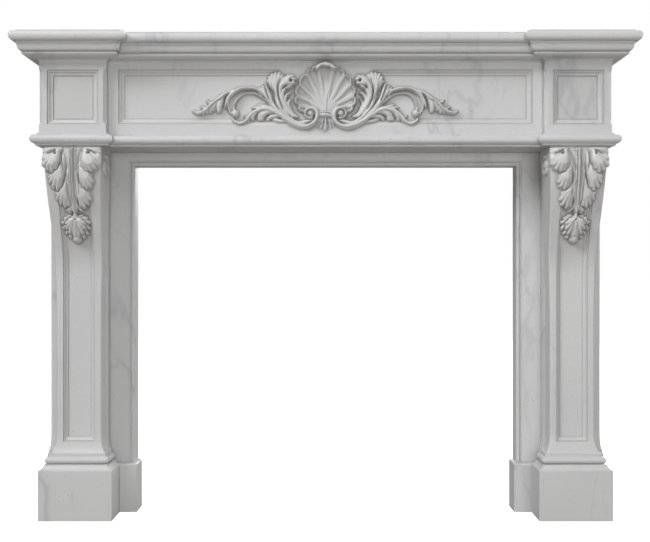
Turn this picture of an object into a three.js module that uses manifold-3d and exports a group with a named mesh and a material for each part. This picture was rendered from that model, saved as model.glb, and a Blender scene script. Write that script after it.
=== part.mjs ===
// Marble fireplace mantel: a breakfront shelf over a carved frieze, two corner blocks, an architrave course,
// two console legs with acanthus leaves, jambs, plinths and a moulded slip frame round the firebox opening.
// Millimetres, +Z up, +Y towards the wall. The origin is on the floor, at the middle of the width and depth.

import * as THREE from 'three';
import { mergeVertices } from 'three/addons/utils/BufferGeometryUtils.js';
import Module from 'manifold-3d';

const wasm = await Module();
wasm.setup();

// Driving dimensions

const joint = 0.3; // open joint between two stones

const openingWidth = 1124.6; // firebox opening between the slips
const slipWidth = 73.4; // face width of a slip
const slipThickness = 49;
const headerHeight = 39.7; // what shows of the header slip under the architrave
const beadWidth = 13;
const beadReach = 3; // bead in front of the slip's face
const quirkWidth = 3.5;
const quirkDepth = 2.5;

const slipPlinthReach = 32; // slip plinth in front of the slip's face
const slipPlinthOverhang = 11; // slip plinth past the slip, into the opening
const slipPlinthBevel = 3;

const jambWidth = 164;
const jambDepth = 95; // jamb front to the wall
const jambHeight = 898;
const jambFootReach = 9;

const plinthHeight = 141.5; // to the arris of its face
const plinthWidth = 208;
const plinthDepth = 190; // plinth front to the wall
const plinthWeathering = 13; // level run of the sloped top
const plinthWeatheringRise = 12.5;
const plinthSeatRise = 2.2;

const blockWidth = 188;
const blockDepth = 214; // corner block front to the wall
const breakDepth = 28; // frieze face behind the corner blocks
const friezeThickness = 62;
const friezeHeight = 221; // frieze and corner blocks, ovolo included
const friezeOvoloReach = 38;
const friezeOvoloHeight = 15;
const friezeNeckReach = 5;
const friezeNeckHeight = 8;

const architraveHeight = 35;
const architraveReach = 21;
const architraveTopFillet = 5;
const architraveFootFillet = 9;
const architraveFilletHeight = 5;

const shelfThickness = 55.7;
const shelfReach = 66; // tip of the bullnose in front of the corner block
const shelfTopStep = 50;
const shelfTopStepHeight = 4;
const bullnoseRoot = 56;
const bullnoseHeight = 27;
const shelfFilletReach = 50;
const shelfFilletHeight = 6;
const coveTopReach = 48;
const coveFootReach = 39;

const shaftReach = 55; // leg's shaft in front of the jamb
const shaftHalfWidth = 64;
const headReach = 73; // leg's head in front of its shaft
const headFlare = 15.5; // half width that the head gains
const footReach = 27; // foot torus past the shaft
const footFilletReach = 17;
const footTorusHeight = 20;
const footFilletHeight = 8.5;
const footCavettoHeight = 55;
const legArris = 3;

const blockPanelWidth = 143;
const blockPanelHeight = 153;
const blockPanelRise = 24; // panel's lower edge above the architrave
const friezePanelWidth = 1168;
const friezePanelHeight = 154;
const friezePanelRise = 29;
const legPanelWidth = 90;
const legPanelRise = 60; // panel's lower edge above the leg's foot
const legPanelHeadroom = 130; // stone left above the panel, under the architrave

const chamferSize = 9.5;
const chamferRise = 21; // stop above the architrave
const chamferHeight = 161;
const chamferStop = 13;

const tieRise = 58; // tie under the shell above the architrave
const scrollworkReach = 375; // half length of the frieze carving
const shellRise = 143; // top of the shell above the tie
const legLeafLength = 278; // from the leg's top to the tip of the drop leaf
const carvingBury = 3; // how far carved forms run into the stone behind the panels' floor

// Places worked out from the driving dimensions

const wallY = (blockDepth + shelfReach) / 2;
const blockFrontY = wallY - blockDepth;
const friezeFrontY = blockFrontY + breakDepth;
const jambFrontY = wallY - jambDepth;
const slipFrontY = wallY - slipThickness;
const slipPlinthFrontY = slipFrontY - slipPlinthReach;
const plinthFrontY = wallY - plinthDepth;
const shaftFrontY = jambFrontY - shaftReach;

const openingX = openingWidth / 2;
const slipOuterX = openingX + slipWidth;
const jambInnerX = slipOuterX + joint;
const jambOuterX = jambInnerX + jambWidth;
const blockOuterX = jambOuterX;
const blockInnerX = blockOuterX - blockWidth;
const legCentreX = (blockInnerX + blockOuterX) / 2;
const plinthInnerX = legCentreX - plinthWidth / 2;
const plinthOuterX = legCentreX + plinthWidth / 2;
const slipPlinthInnerX = openingX - slipPlinthOverhang;

const plinthTopZ = plinthHeight + plinthWeatheringRise + plinthSeatRise;
const jambBottomZ = plinthTopZ + joint;
const jambTopZ = jambBottomZ + jambHeight;
const architraveBottomZ = jambTopZ + joint;
const architraveTopZ = architraveBottomZ + architraveHeight;
const friezeBottomZ = architraveTopZ + joint;
const friezeTopZ = friezeBottomZ + friezeHeight;
const shelfBottomZ = friezeTopZ + joint;
const openingZ = architraveBottomZ - joint - headerHeight;
const legPanelBottom = jambBottomZ + legPanelRise;
const legPanelTop = jambTopZ - legPanelHeadroom;
const tieZ = friezeBottomZ + tieRise;

// Solids

function cleaned(positions, triangles) {
  const raw = new THREE.BufferGeometry();
  raw.setAttribute('position', new THREE.Float32BufferAttribute(positions, 3));
  raw.setIndex(triangles);
  const geometry = mergeVertices(raw, 1e-3);
  const index = geometry.index.array;
  const kept = [];
  for (let i = 0; i < index.length; i += 3) {
    const [a, b, c] = [index[i], index[i + 1], index[i + 2]];
    if (a !== b && b !== c && c !== a) kept.push(a, b, c);
  }
  if (signedVolume(geometry.attributes.position, kept) < 0) kept.reverse();
  geometry.setIndex(kept);
  return geometry;
}

function signedVolume(position, index) {
  const [a, b, c] = [new THREE.Vector3(), new THREE.Vector3(), new THREE.Vector3()];
  let volume = 0;
  for (let i = 0; i < index.length; i += 3) {
    a.fromBufferAttribute(position, index[i]);
    b.fromBufferAttribute(position, index[i + 1]);
    c.fromBufferAttribute(position, index[i + 2]);
    volume += a.dot(b.cross(c)) / 6;
  }
  return volume;
}

function toManifold(geometry) {
  const vertProperties = Float32Array.from(geometry.attributes.position.array);
  const triVerts = Uint32Array.from(geometry.index.array);
  return new wasm.Manifold(new wasm.Mesh({ numProp: 3, vertProperties, triVerts }));
}

function fromManifold(manifold) {
  const mesh = manifold.getMesh();
  const geometry = new THREE.BufferGeometry();
  geometry.setAttribute('position', new THREE.Float32BufferAttribute(Array.from(mesh.vertProperties), 3));
  geometry.setIndex(Array.from(mesh.triVerts));
  return geometry;
}

function withCuts(body, cutters) {
  return fromManifold(cutters.reduce((rest, cutter) => rest.subtract(toManifold(cutter)), toManifold(body)));
}

function withCarving(body, forms) {
  return fromManifold(forms.reduce((whole, form) => whole.add(toManifold(form)), toManifold(body)));
}

// Skins a row of rings that all have the same number of points. crossed says which cells turn their diagonal.
function loft(rings, { fanCaps = false, crossed = () => false } = {}) {
  const count = rings[0].length;
  const positions = rings.flat().flatMap((point) => [point.x, point.y, point.z]);
  const triangles = [];
  for (let r = 0; r + 1 < rings.length; r++) {
    for (let i = 0; i < count; i++) {
      const a = r * count + i;
      const b = r * count + ((i + 1) % count);
      const [c, d] = [a + count, b + count];
      if (crossed(r, i)) triangles.push(a, b, c, b, d, c);
      else triangles.push(a, b, d, a, d, c);
    }
  }
  const close = (start, points, flipped) => {
    const faces = fanCaps ? fanOver(points, start, positions) : earsOver(points, start);
    for (const [a, b, c] of faces) triangles.push(...(flipped ? [a, c, b] : [a, b, c]));
  };
  close(0, rings[0], true);
  close((rings.length - 1) * count, rings.at(-1), false);
  return cleaned(positions, triangles);
}

function fanOver(points, start, positions) {
  const middle = points.reduce((sum, point) => sum.add(point), new THREE.Vector3()).divideScalar(points.length);
  const hub = positions.length / 3;
  positions.push(middle.x, middle.y, middle.z);
  return points.map((point, i) => [hub, start + i, start + ((i + 1) % points.length)]);
}

function earsOver(points, start) {
  const normal = new THREE.Vector3();
  points.forEach((point, i) => normal.add(point.clone().cross(points[(i + 1) % points.length])));
  normal.normalize();
  const across = new THREE.Vector3(1, 0, 0);
  if (Math.abs(normal.x) > 0.7) across.set(0, 1, 0);
  across.addScaledVector(normal, -across.dot(normal)).normalize();
  const up = normal.clone().cross(across);
  const contour = points.map((point) => new THREE.Vector2(point.dot(across), point.dot(up)));
  const ears = THREE.ShapeUtils.triangulateShape(contour, []);
  return ears.map((ear) => ear.map((i) => start + i));
}

// Turns a plan, which gives its corners for any reach of the moulding, and a profile of reach and height into a stone
function moulded(plan, profile) {
  return loft(profile.map(([reach, z]) => plan(reach).map(([x, y]) => new THREE.Vector3(x, y, z))));
}

function mirrored(geometry) {
  const positions = Array.from(geometry.attributes.position.array).map((value, i) => (i % 3 === 0 ? -value : value));
  return cleaned(positions, Array.from(geometry.index.array));
}

// Points of a quarter or half round between two angles in degrees, as reach and height about a centre
function arc(reach, z, reachRadius, heightRadius, fromAngle, toAngle, steps) {
  const points = [];
  for (let i = 0; i <= steps; i++) {
    const angle = THREE.MathUtils.degToRad(fromAngle + ((toAngle - fromAngle) * i) / steps);
    points.push([reach + reachRadius * Math.cos(angle), z + heightRadius * Math.sin(angle)]);
  }
  return points;
}

// Sunk panels. A panel moulding is a row of inset from the panel's outer edge and depth below the face.

const panelMoulding = [
  [0, 0],
  [0.8, 2.6],
  [4.2, 3.4],
  [9.6, 9],
  [12.4, 10],
  [13.2, 12],
];
const panelFloor = panelMoulding.at(-1)[1];
const widePanelScale = 1.25; // the frieze and corner block panels have a wider moulding than the legs

function sunkPanel(left, right, bottom, top, frontY, scale) {
  const ring = ([inset, depth]) => {
    const i = inset * scale;
    const y = frontY + depth;
    return [
      new THREE.Vector3(left + i, y, bottom + i),
      new THREE.Vector3(right - i, y, bottom + i),
      new THREE.Vector3(right - i, y, top - i),
      new THREE.Vector3(left + i, y, top - i),
    ];
  };
  const clear = [0, -panelFloor / 2]; // in front of the face
  return loft([clear, ...panelMoulding].map(ring));
}

// Chamfer that runs out to the square arris at both ends
function stoppedChamfer(x, side, frontY, bottom, height) {
  const stations = [
    [0, 0.02],
    [0.35, 0.5],
    [1, 1],
  ];
  const rings = [];
  const ring = (share, z) => {
    const size = chamferSize * share;
    const spare = 1;
    return [
      new THREE.Vector3(x + side * spare, frontY + size, z),
      new THREE.Vector3(x + side * spare, frontY - spare, z),
      new THREE.Vector3(x - side * size, frontY - spare, z),
      new THREE.Vector3(x - side * size, frontY, z),
      new THREE.Vector3(x, frontY + size, z),
    ];
  };
  for (const [along, share] of stations) rings.push(ring(share, bottom + along * chamferStop));
  for (const [along, share] of [...stations].reverse()) rings.push(ring(share, bottom + height - along * chamferStop));
  return loft(rings);
}

// Shelf

function breakfrontPlan(reach) {
  const outer = blockOuterX + reach;
  const inner = blockInnerX - reach;
  const blockY = blockFrontY - reach;
  const friezeY = friezeFrontY - reach;
  return [
    [-outer, wallY],
    [-outer, blockY],
    [-inner, blockY],
    [-inner, friezeY],
    [inner, friezeY],
    [inner, blockY],
    [outer, blockY],
    [outer, wallY],
  ];
}

function shelf() {
  const topZ = shelfBottomZ + shelfThickness;
  const noseTopZ = topZ - shelfTopStepHeight;
  const noseZ = noseTopZ - bullnoseHeight / 2;
  const noseBottomZ = noseTopZ - bullnoseHeight;
  const coveTopZ = noseBottomZ - shelfFilletHeight;
  const cove = arc(coveTopReach, shelfBottomZ, coveFootReach - coveTopReach, coveTopZ - shelfBottomZ, 0, 90, 4);
  return moulded(breakfrontPlan, [
    ...cove.map(([reach, z]) => [coveTopReach + coveFootReach - reach, coveTopZ + shelfBottomZ - z]).reverse(),
    [shelfFilletReach, coveTopZ],
    [shelfFilletReach, noseBottomZ],
    ...arc(bullnoseRoot, noseZ, shelfReach - bullnoseRoot, bullnoseHeight / 2, -90, 90, 8),
    [shelfTopStep, noseTopZ],
    [shelfTopStep, topZ],
  ]);
}

// Frieze and corner blocks share the ovolo head

const headProfile = [
  [0, friezeBottomZ],
  [0, friezeTopZ - friezeOvoloHeight - friezeNeckHeight],
  [friezeNeckReach * 0.4, friezeTopZ - friezeOvoloHeight - friezeNeckHeight * 0.8],
  [friezeNeckReach, friezeTopZ - friezeOvoloHeight - friezeNeckHeight * 0.3],
  [friezeNeckReach, friezeTopZ - friezeOvoloHeight],
  ...arc(
    friezeNeckReach + 2,
    friezeTopZ - friezeOvoloHeight * 0.3,
    friezeOvoloReach - friezeNeckReach - 2,
    friezeOvoloHeight * 0.7,
    -90,
    0,
    4,
  ),
  [friezeOvoloReach - 3, friezeTopZ],
];

function cornerBlock() {
  const plan = (reach) => [
    [blockInnerX, wallY],
    [blockInnerX, friezeFrontY],
    [blockInnerX - reach, friezeFrontY - reach],
    [blockInnerX - reach, blockFrontY - reach],
    [blockOuterX + reach, blockFrontY - reach],
    [blockOuterX + reach, wallY],
  ];
  const panelBottom = friezeBottomZ + blockPanelRise;
  const panel = sunkPanel(
    legCentreX - blockPanelWidth / 2,
    legCentreX + blockPanelWidth / 2,
    panelBottom,
    panelBottom + blockPanelHeight,
    blockFrontY,
    widePanelScale,
  );
  const chamfers = [
    [blockInnerX, -1],
    [blockOuterX, 1],
  ].map(([x, side]) => stoppedChamfer(x, side, blockFrontY, friezeBottomZ + chamferRise, chamferHeight));
  return withCuts(moulded(plan, headProfile), [panel, ...chamfers]);
}

function friezeSlab() {
  const end = blockInnerX - joint;
  const backY = friezeFrontY + friezeThickness;
  const plan = (reach) => [
    [-end, backY],
    [-end, friezeFrontY],
    [reach - end, friezeFrontY - reach],
    [end - reach, friezeFrontY - reach],
    [end, friezeFrontY],
    [end, backY],
  ];
  const panelBottom = friezeBottomZ + friezePanelRise;
  const half = friezePanelWidth / 2;
  const panelTop = panelBottom + friezePanelHeight;
  return withCuts(moulded(plan, headProfile), [
    sunkPanel(-half, half, panelBottom, panelTop, friezeFrontY, widePanelScale),
  ]);
}

// Architrave

function architrave() {
  const torusBottomZ = architraveBottomZ + architraveFilletHeight;
  const torusTopZ = architraveTopZ - architraveFilletHeight;
  const root = architraveFootFillet;
  return moulded(breakfrontPlan, [
    [architraveFootFillet - 1, architraveBottomZ],
    [architraveFootFillet - 1, torusBottomZ],
    ...arc(
      root,
      (torusBottomZ + torusTopZ) / 2,
      architraveReach - root,
      (torusTopZ - torusBottomZ) / 2,
      -90,
      90,
      8,
    ),
    [architraveTopFillet, torusTopZ],
    [architraveTopFillet, architraveTopZ],
  ]);
}

// Foot mouldings, as reach and height from the seat: torus, fillet and cavetto

function footProfile(reach, filletReach) {
  const torusRadius = footTorusHeight / 2;
  const filletTopZ = footTorusHeight + footFilletHeight;
  const cavetto = [];
  const steps = 4;
  for (let i = 0; i <= steps; i++) {
    const angle = (Math.PI / 2) * (i / steps);
    cavetto.push([filletReach * (1 - Math.sin(angle)), filletTopZ + footCavettoHeight * (1 - Math.cos(angle))]);
  }
  return [
    ...arc(filletReach, torusRadius, reach - filletReach, torusRadius, -90, 90, 6),
    [filletReach, filletTopZ],
    ...cavetto.slice(1),
  ];
}

// Legs

const swellFrom = 0.594; // share of the leg's height where the head begins to come forward
const swellTo = 0.955;
const flareFrom = 0.45;
const flareTo = 0.95;
const flareBend = 1.5;

function headShare(z) {
  return THREE.MathUtils.smoothstep((z - jambBottomZ) / jambHeight, swellFrom, swellTo);
}

function legFrontY(z) {
  return shaftFrontY - headReach * headShare(z);
}

function legHalfWidth(z) {
  const share = THREE.MathUtils.clamp(((z - jambBottomZ) / jambHeight - flareFrom) / (flareTo - flareFrom), 0, 1);
  return shaftHalfWidth + headFlare * share ** flareBend;
}

function legPanelDepth(x, z) {
  const inset = Math.min(legPanelWidth / 2 - Math.abs(x), z - legPanelBottom, legPanelTop - z);
  if (inset <= 0) return 0;
  const next = panelMoulding.findIndex(([at]) => at >= inset - 1e-6);
  if (next < 1) return panelMoulding.at(-1)[1];
  const [fromInset, fromDepth] = panelMoulding[next - 1];
  const [toInset, toDepth] = panelMoulding[next];
  return fromDepth + ((toDepth - fromDepth) * (inset - fromInset)) / (toInset - fromInset);
}

function legBody() {
  const foot = footProfile(footReach, footFilletReach).map(([reach, rise]) => [reach, jambBottomZ + rise]);
  const panelInsets = panelMoulding.map(([inset]) => inset);
  const footTop = foot.at(-1)[1];
  const bends = [];
  const bendCount = 7;
  for (let i = 0; i <= bendCount; i++) {
    const share = swellFrom + ((1 - swellFrom) * i) / bendCount;
    bends.push(jambBottomZ + jambHeight * share);
  }
  const free = [
    ...panelInsets.map((inset) => legPanelBottom + inset),
    ...panelInsets.map((inset) => legPanelTop - inset),
    jambBottomZ + jambHeight * flareFrom,
    ...bends,
  ].filter((z) => z > footTop + 0.5);
  const inFoot = panelInsets.map((inset) => legPanelBottom + inset).filter((z) => z <= footTop + 0.5);
  const footReachAt = (z) => {
    const next = foot.findIndex(([, at]) => at >= z);
    const [fromReach, fromZ] = foot[next - 1];
    const [toReach, toZ] = foot[next];
    return fromReach + ((toReach - fromReach) * (z - fromZ)) / (toZ - fromZ);
  };
  const stations = [
    ...foot,
    ...inFoot.map((z) => [footReachAt(z), z]),
    ...free.map((z) => [0, z]),
  ].sort(([, a], [, b]) => a - b);
  const panelXs = panelInsets.map((inset) => inset - legPanelWidth / 2);
  const faceXs = [...panelXs, ...[...panelXs].reverse().map((x) => -x)];
  const backY = jambFrontY - joint;
  const rings = stations.map(([reach, z]) => {
    const half = legHalfWidth(z) + reach;
    const frontY = legFrontY(z) - reach;
    return [
      new THREE.Vector3(-half, backY, z),
      new THREE.Vector3(-half, frontY + legArris, z),
      new THREE.Vector3(legArris - half, frontY, z),
      ...faceXs.map((x) => new THREE.Vector3(x, frontY + legPanelDepth(x, z), z)),
      new THREE.Vector3(half - legArris, frontY, z),
      new THREE.Vector3(half, frontY + legArris, z),
      new THREE.Vector3(half, backY, z),
    ];
  });
  const middleZ = (legPanelBottom + legPanelTop) / 2;
  const crossed = (r, i) => {
    const onRight = i > rings[0].length / 2 - 1;
    const onTop = rings[r][0].z > middleZ;
    return onRight !== onTop;
  };
  return loft(rings, { fanCaps: true, crossed });
}

function jamb() {
  const plan = (reach) => [
    [jambInnerX, wallY],
    [jambInnerX, slipFrontY - joint],
    [jambInnerX - reach, slipFrontY - joint],
    [jambInnerX - reach, jambFrontY],
    [jambOuterX + reach, jambFrontY],
    [jambOuterX + reach, wallY],
  ];
  const foot = footProfile(jambFootReach, jambFootReach * (footFilletReach / footReach));
  const profile = [...foot.map(([reach, rise]) => [reach, jambBottomZ + rise]), [0, jambTopZ]];
  return moulded(plan, profile);
}

// Plinths

function plinth() {
  const plan = (reach) => [
    [plinthInnerX - reach, slipPlinthFrontY - joint],
    [plinthInnerX - reach, plinthFrontY - reach],
    [plinthOuterX + reach, plinthFrontY - reach],
    [plinthOuterX + reach, wallY],
    [jambInnerX, wallY],
    [jambInnerX, slipPlinthFrontY - joint],
  ];
  const slopeTopZ = plinthHeight + plinthWeatheringRise;
  return moulded(plan, [
    [0, 0],
    [0, plinthHeight - 2],
    [-1.5, plinthHeight],
    [-plinthWeathering * 0.55, plinthHeight + plinthWeatheringRise * 0.35],
    [-plinthWeathering, slopeTopZ],
    [-plinthWeathering, plinthTopZ],
  ]);
}

function slipPlinth() {
  const plan = (reach) => [
    [slipPlinthInnerX - reach, slipPlinthFrontY - reach],
    [slipOuterX, slipPlinthFrontY - reach],
    [slipOuterX, wallY],
    [slipPlinthInnerX - reach, wallY],
  ];
  return moulded(plan, [
    [0, 0],
    [0, plinthHeight - slipPlinthBevel],
    [-slipPlinthBevel, plinthHeight],
  ]);
}

// Slips. The section runs from the opening outwards and from the face to the wall.

function slipSection() {
  const beadRadius = beadWidth / 2;
  const bead = [];
  const steps = 6;
  for (let i = 0; i <= steps; i++) {
    const angle = Math.PI * (1 - i / steps);
    bead.push([beadRadius * (1 + Math.cos(angle)), slipFrontY + beadReach - beadReach * 2 * Math.sin(angle)]);
  }
  const quirkY = slipFrontY + quirkDepth;
  return [
    [0, wallY],
    ...bead,
    [beadWidth + 0.5, quirkY],
    [beadWidth + quirkWidth, quirkY],
    [beadWidth + quirkWidth + 0.5, slipFrontY],
    [slipWidth, slipFrontY],
    [slipWidth, wallY],
  ];
}

// What a stone under the architrave may not reach into
function underArchitrave() {
  const height = 2 * slipWidth;
  const box = new THREE.BoxGeometry(4 * blockOuterX, 4 * blockDepth, height);
  box.translate(0, 0, jambTopZ + height / 2);
  box.deleteAttribute('normal');
  box.deleteAttribute('uv');
  return mergeVertices(box);
}

function slip() {
  const section = slipSection();
  const foot = section.map(([across, y]) => new THREE.Vector3(openingX + across, y, plinthHeight + joint));
  const mitre = section.map(([across, y]) => new THREE.Vector3(openingX + across, y, openingZ + across - joint));
  return withCuts(loft([foot, mitre]), [underArchitrave()]);
}

function headerSlip() {
  const section = slipSection();
  const end = (side) =>
    section.map(([across, y]) => new THREE.Vector3(side * (openingX + across), y, openingZ + across));
  return withCuts(loft([end(-1), end(1)]), [underArchitrave()]);
}

// Carving. Each carved form is a ribbon along a spine on the stone's face: it has a half width and a height at
// every share of its length. Its section is a row of places across and up, of which those without a height lie
// buried behind the panels' floor. faceY gives the face behind the form.

const roundSection = [
  [-1],
  [-0.85, 0.4],
  [0, 1],
  [0.85, 0.4],
  [1],
];
const ridgedSection = [[-1], [0, 1], [1]];
const lobeSection = [
  [-1],
  [-0.94, 0.16],
  [0, 1],
  [0.94, 0.16],
  [1],
];
const { lerp: mix } = THREE.MathUtils;

function ribbon(spine, steps, section, halfWidthAt, heightAt, faceY) {
  const curve = new THREE.CatmullRomCurve3(spine.map(([x, z]) => new THREE.Vector3(x, 0, z)), false, 'centripetal');
  const rings = [];
  for (let i = 0; i <= steps; i++) {
    const t = i / steps;
    const at = curve.getPointAt(t);
    const along = curve.getTangentAt(t);
    const half = halfWidthAt(t);
    const height = heightAt(t);
    rings.push(
      section.map(([across, up]) => {
        const x = at.x + along.z * across * half;
        const z = at.z - along.x * across * half;
        const rise = up === undefined ? -(panelFloor + carvingBury) : height * up;
        return new THREE.Vector3(x, faceY(x, z) - rise, z);
      }),
    );
  }
  return loft(rings, { fanCaps: true });
}

// A value along a form, from a row of values that are evenly spaced along it
function along(values, t) {
  const place = t * (values.length - 1);
  const before = Math.min(Math.floor(place), values.length - 2);
  return mix(values[before], values[before + 1], place - before);
}

const petalWidths = [0.48, 0.86, 1, 0.83, 0.42]; // shares of a petal's half width, from its root to its tip
const petalHeights = [0.65, 1];

function petal(spine, section, halfWidth, height, faceY) {
  const width = (t) => halfWidth * along(petalWidths, t);
  const rise = (t) => height * along(petalHeights, t);
  return ribbon(spine, spine.length, section, width, rise, faceY);
}

function boss(x, z, radius, height, faceY) {
  const sides = 8;
  const ring = (share, rise) => {
    const points = [];
    for (let i = 0; i < sides; i++) {
      const angle = (2 * Math.PI * i) / sides;
      const px = x + radius * share * Math.cos(angle);
      const pz = z + radius * share * Math.sin(angle);
      points.push(new THREE.Vector3(px, faceY(x, z) - rise, pz));
    }
    return points;
  };
  const crownShare = 0.6;
  return loft([ring(1, -(panelFloor + carvingBury)), ring(1, height / 2), ring(crownShare, height)], { fanCaps: true });
}

// Frieze carving: places are across from the middle of the mantel and up from the tie under the shell

const friezeCarvingFace = () => friezeFrontY;
const tie = { halfLength: 15.6, halfWidth: 6.5, height: 15 };

const shell = {
  centreFlute: 20, // degrees
  flute: 16.5,
  lastFlute: 12,
  sideFlutes: 5,
  radiusPerDegree: 0.005, // share of the shell's rise that the radius loses with each degree from upright
  tuckFrom: 66, // degrees from upright where the outline tucks in to the volutes
  tuck: 0.000315, // share of the shell's rise lost with each degree squared
  root: 0.06, // share of the radius where the flutes begin
  splay: 0.22, // share of a ridge's angle that it gains from root to rim
  rimHeight: 22,
  floorHeight: 3,
  sideLean: 0.5, // share of its height that the shell loses at its sides
  ridgeHeight: 5,
  scallop: 5,
  rows: 4,
  columnsPerFlute: 4,
};

function shellRidges() {
  const ridges = [shell.centreFlute / 2];
  for (let i = 1; i < shell.sideFlutes; i++) ridges.push(ridges.at(-1) + shell.flute);
  ridges.push(ridges.at(-1) + shell.lastFlute);
  return [...ridges.map((angle) => -angle).reverse(), ...ridges];
}

function shellRadius(angle) {
  const lean = Math.abs(angle);
  const tuck = Math.max(0, lean - shell.tuckFrom);
  return shellRise * (1 - shell.radiusPerDegree * lean - shell.tuck * tuck ** 2);
}

// Point on the shell's front, where hollow is 0 on a ridge and 1 in the middle of a flute
function shellFront(angle, hollow, t) {
  const radius = (shellRadius(angle) + shell.scallop * (hollow - 0.5)) * mix(shell.root, 1, t);
  const turn = THREE.MathUtils.degToRad(angle * (1 - shell.splay * (1 - t ** 2)));
  const dish = mix(shell.floorHeight, shell.rimHeight, t ** 2.6);
  const ridge = shell.ridgeHeight * (1 - hollow) * Math.sin(Math.PI * t * 0.8);
  const upright = Math.cos(THREE.MathUtils.degToRad(angle));
  const height = (dish + ridge) * mix(1 - shell.sideLean, 1, upright);
  return new THREE.Vector3(radius * Math.sin(turn), friezeFrontY - height, tieZ + radius * Math.cos(turn));
}

function shellSolid() {
  const ridges = shellRidges();
  const columns = [];
  for (let f = 0; f + 1 < ridges.length; f++) {
    for (let i = 0; i < shell.columnsPerFlute; i++) {
      const share = i / shell.columnsPerFlute;
      columns.push([mix(ridges[f], ridges[f + 1], share), Math.sin(Math.PI * share)]);
    }
  }
  columns.push([ridges.at(-1), 0]);
  const buriedY = friezeFrontY + panelFloor + carvingBury;
  const rings = columns.map(([angle, hollow]) => {
    const ring = [];
    for (let i = 0; i <= shell.rows; i++) ring.push(shellFront(angle, hollow, i / shell.rows));
    const [rim, root] = [ring.at(-1), ring[0]];
    ring.push(new THREE.Vector3(rim.x, buriedY, rim.z));
    ring.push(new THREE.Vector3(root.x, buriedY, root.z));
    return ring;
  });
  return loft(rings);
}

// One half of the scrollwork, to the right of the middle
const volute = {
  x: 43.7,
  z: 0.7,
  inner: 12.2, // radius that the spiral closes to
  spread: 9.8, // more radius where it opens
  decay: 85, // degrees
  turn: 290,
  steps: 11,
  eye: 7.6,
  eyeHeight: 19,
};
const scrollEnd = { x: 254.6, z: 0, radius: 10, height: 14 };
const scrollRun = [
  [24, -16],
  [38, -27],
  [62, -34],
  [88, -29],
  [112, -17],
  [136, 2],
  [155, 24],
  [172, 46],
  [195, 60],
  [221, 64],
  [245, 57],
  [262, 42],
  [270, 23],
  [266, 6],
  [253, 1],
];
const scrollSteps = 32;
const scrollWidths = [3.3, 3.8, 6.4, 6, 6.6, 8, 9, 9.4, 9.6, 9.6, 9.4, 9, 8, 6];
const scrollHeights = [17, 18, 18, 16, 14, 13, 13, 13];

function scrollSpine() {
  const points = [];
  for (let i = volute.steps; i >= 0; i--) {
    const angle = (volute.turn * i) / volute.steps;
    const radius = volute.inner + volute.spread * Math.exp(-angle / volute.decay);
    const radians = THREE.MathUtils.degToRad(180 - angle);
    points.push([volute.x + radius * Math.cos(radians), volute.z + radius * Math.sin(radians)]);
  }
  return [...points, ...scrollRun];
}

// Leaves of the scrollwork: spine, half width and height
const scrollLeaves = [
  [[[104, -12], [122, 40], [132, 115]], 13, 17],
  [[[110, -4], [133, 40], [152, 110]], 15, 15],
  [[[120, 2], [146, 40], [168, 88]], 13, 14],
  [[[136, 12], [162, 42], [185, 78]], 11, 13],
  [[[88, -20], [119, 12], [126, 56], [113, 94], [92, 104]], 14, 19],
  [[[110, 14], [117, 52], [101, 80]], 11, 14],
  [[[100, -4], [109, 26], [99, 56]], 10, 12],
  [[[132, -8], [165, 9], [196, 4], [218, -13], [240, -23], [261, -13]], 10, 15],
  [[[190, 0], [198, -10], [204, -22]], 11, 13],
  [[[164, 2], [174, -8], [181, -18]], 11, 12],
  [[[160, 14], [178, 20], [198, 24]], 7, 10],
  [[[248, 62], [280, 50], [305, 33], [330, 14], [352, 4], [375, 12]], 9, 14],
  [[[274, 46], [280, 34], [283, 18]], 9, 11],
  [[[294, 36], [300, 24], [302, 5]], 11, 12],
  [[[314, 22], [320, 12], [324, -1]], 9, 10],
];

const shellTail = [
  [[[0, -4], [0, -26], [0, -48]], 8, 14],
  [[[5, -6], [10, -24], [14, -38]], 6, 11],
  [[[9, -6], [18, -20], [27, -33]], 6, 9],
];

const furthest = Math.max(...scrollLeaves.flatMap(([spine]) => spine.map(([x]) => x)));
const scrollUnit = scrollworkReach / furthest;
const onBothSides = (spine) => (spine.some(([x]) => x !== 0) ? [1, -1] : [1]);

function friezeCarving() {
  const forms = [shellSolid()];
  const unit = scrollUnit;
  const placed = (spine, side) => spine.map(([x, z]) => [side * x * unit, tieZ + z * unit]);
  for (const [spine, halfWidth, height] of [...scrollLeaves, ...shellTail]) {
    for (const side of onBothSides(spine)) {
      forms.push(petal(placed(spine, side), ridgedSection, halfWidth * unit, height * unit, friezeCarvingFace));
    }
  }
  const width = (t) => along(scrollWidths, t) * unit;
  const rise = (t) => along(scrollHeights, t) * unit;
  const knob = (x, z, radius, height) => boss(x * unit, tieZ + z * unit, radius * unit, height * unit, friezeCarvingFace);
  for (const side of [1, -1]) {
    forms.push(ribbon(placed(scrollSpine(), side), scrollSteps, roundSection, width, rise, friezeCarvingFace));
    forms.push(knob(side * volute.x, volute.z, volute.eye, volute.eyeHeight));
    forms.push(knob(side * scrollEnd.x, scrollEnd.z, scrollEnd.radius, scrollEnd.height));
  }
  const bar = placed([[-tie.halfLength, 0], [0, 0], [tie.halfLength, 0]], 1);
  forms.push(ribbon(bar, 2, roundSection, () => tie.halfWidth * unit, () => tie.height * unit, friezeCarvingFace));
  return forms;
}

// Leg carving: places are across from the leg's middle and up from its top

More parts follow.
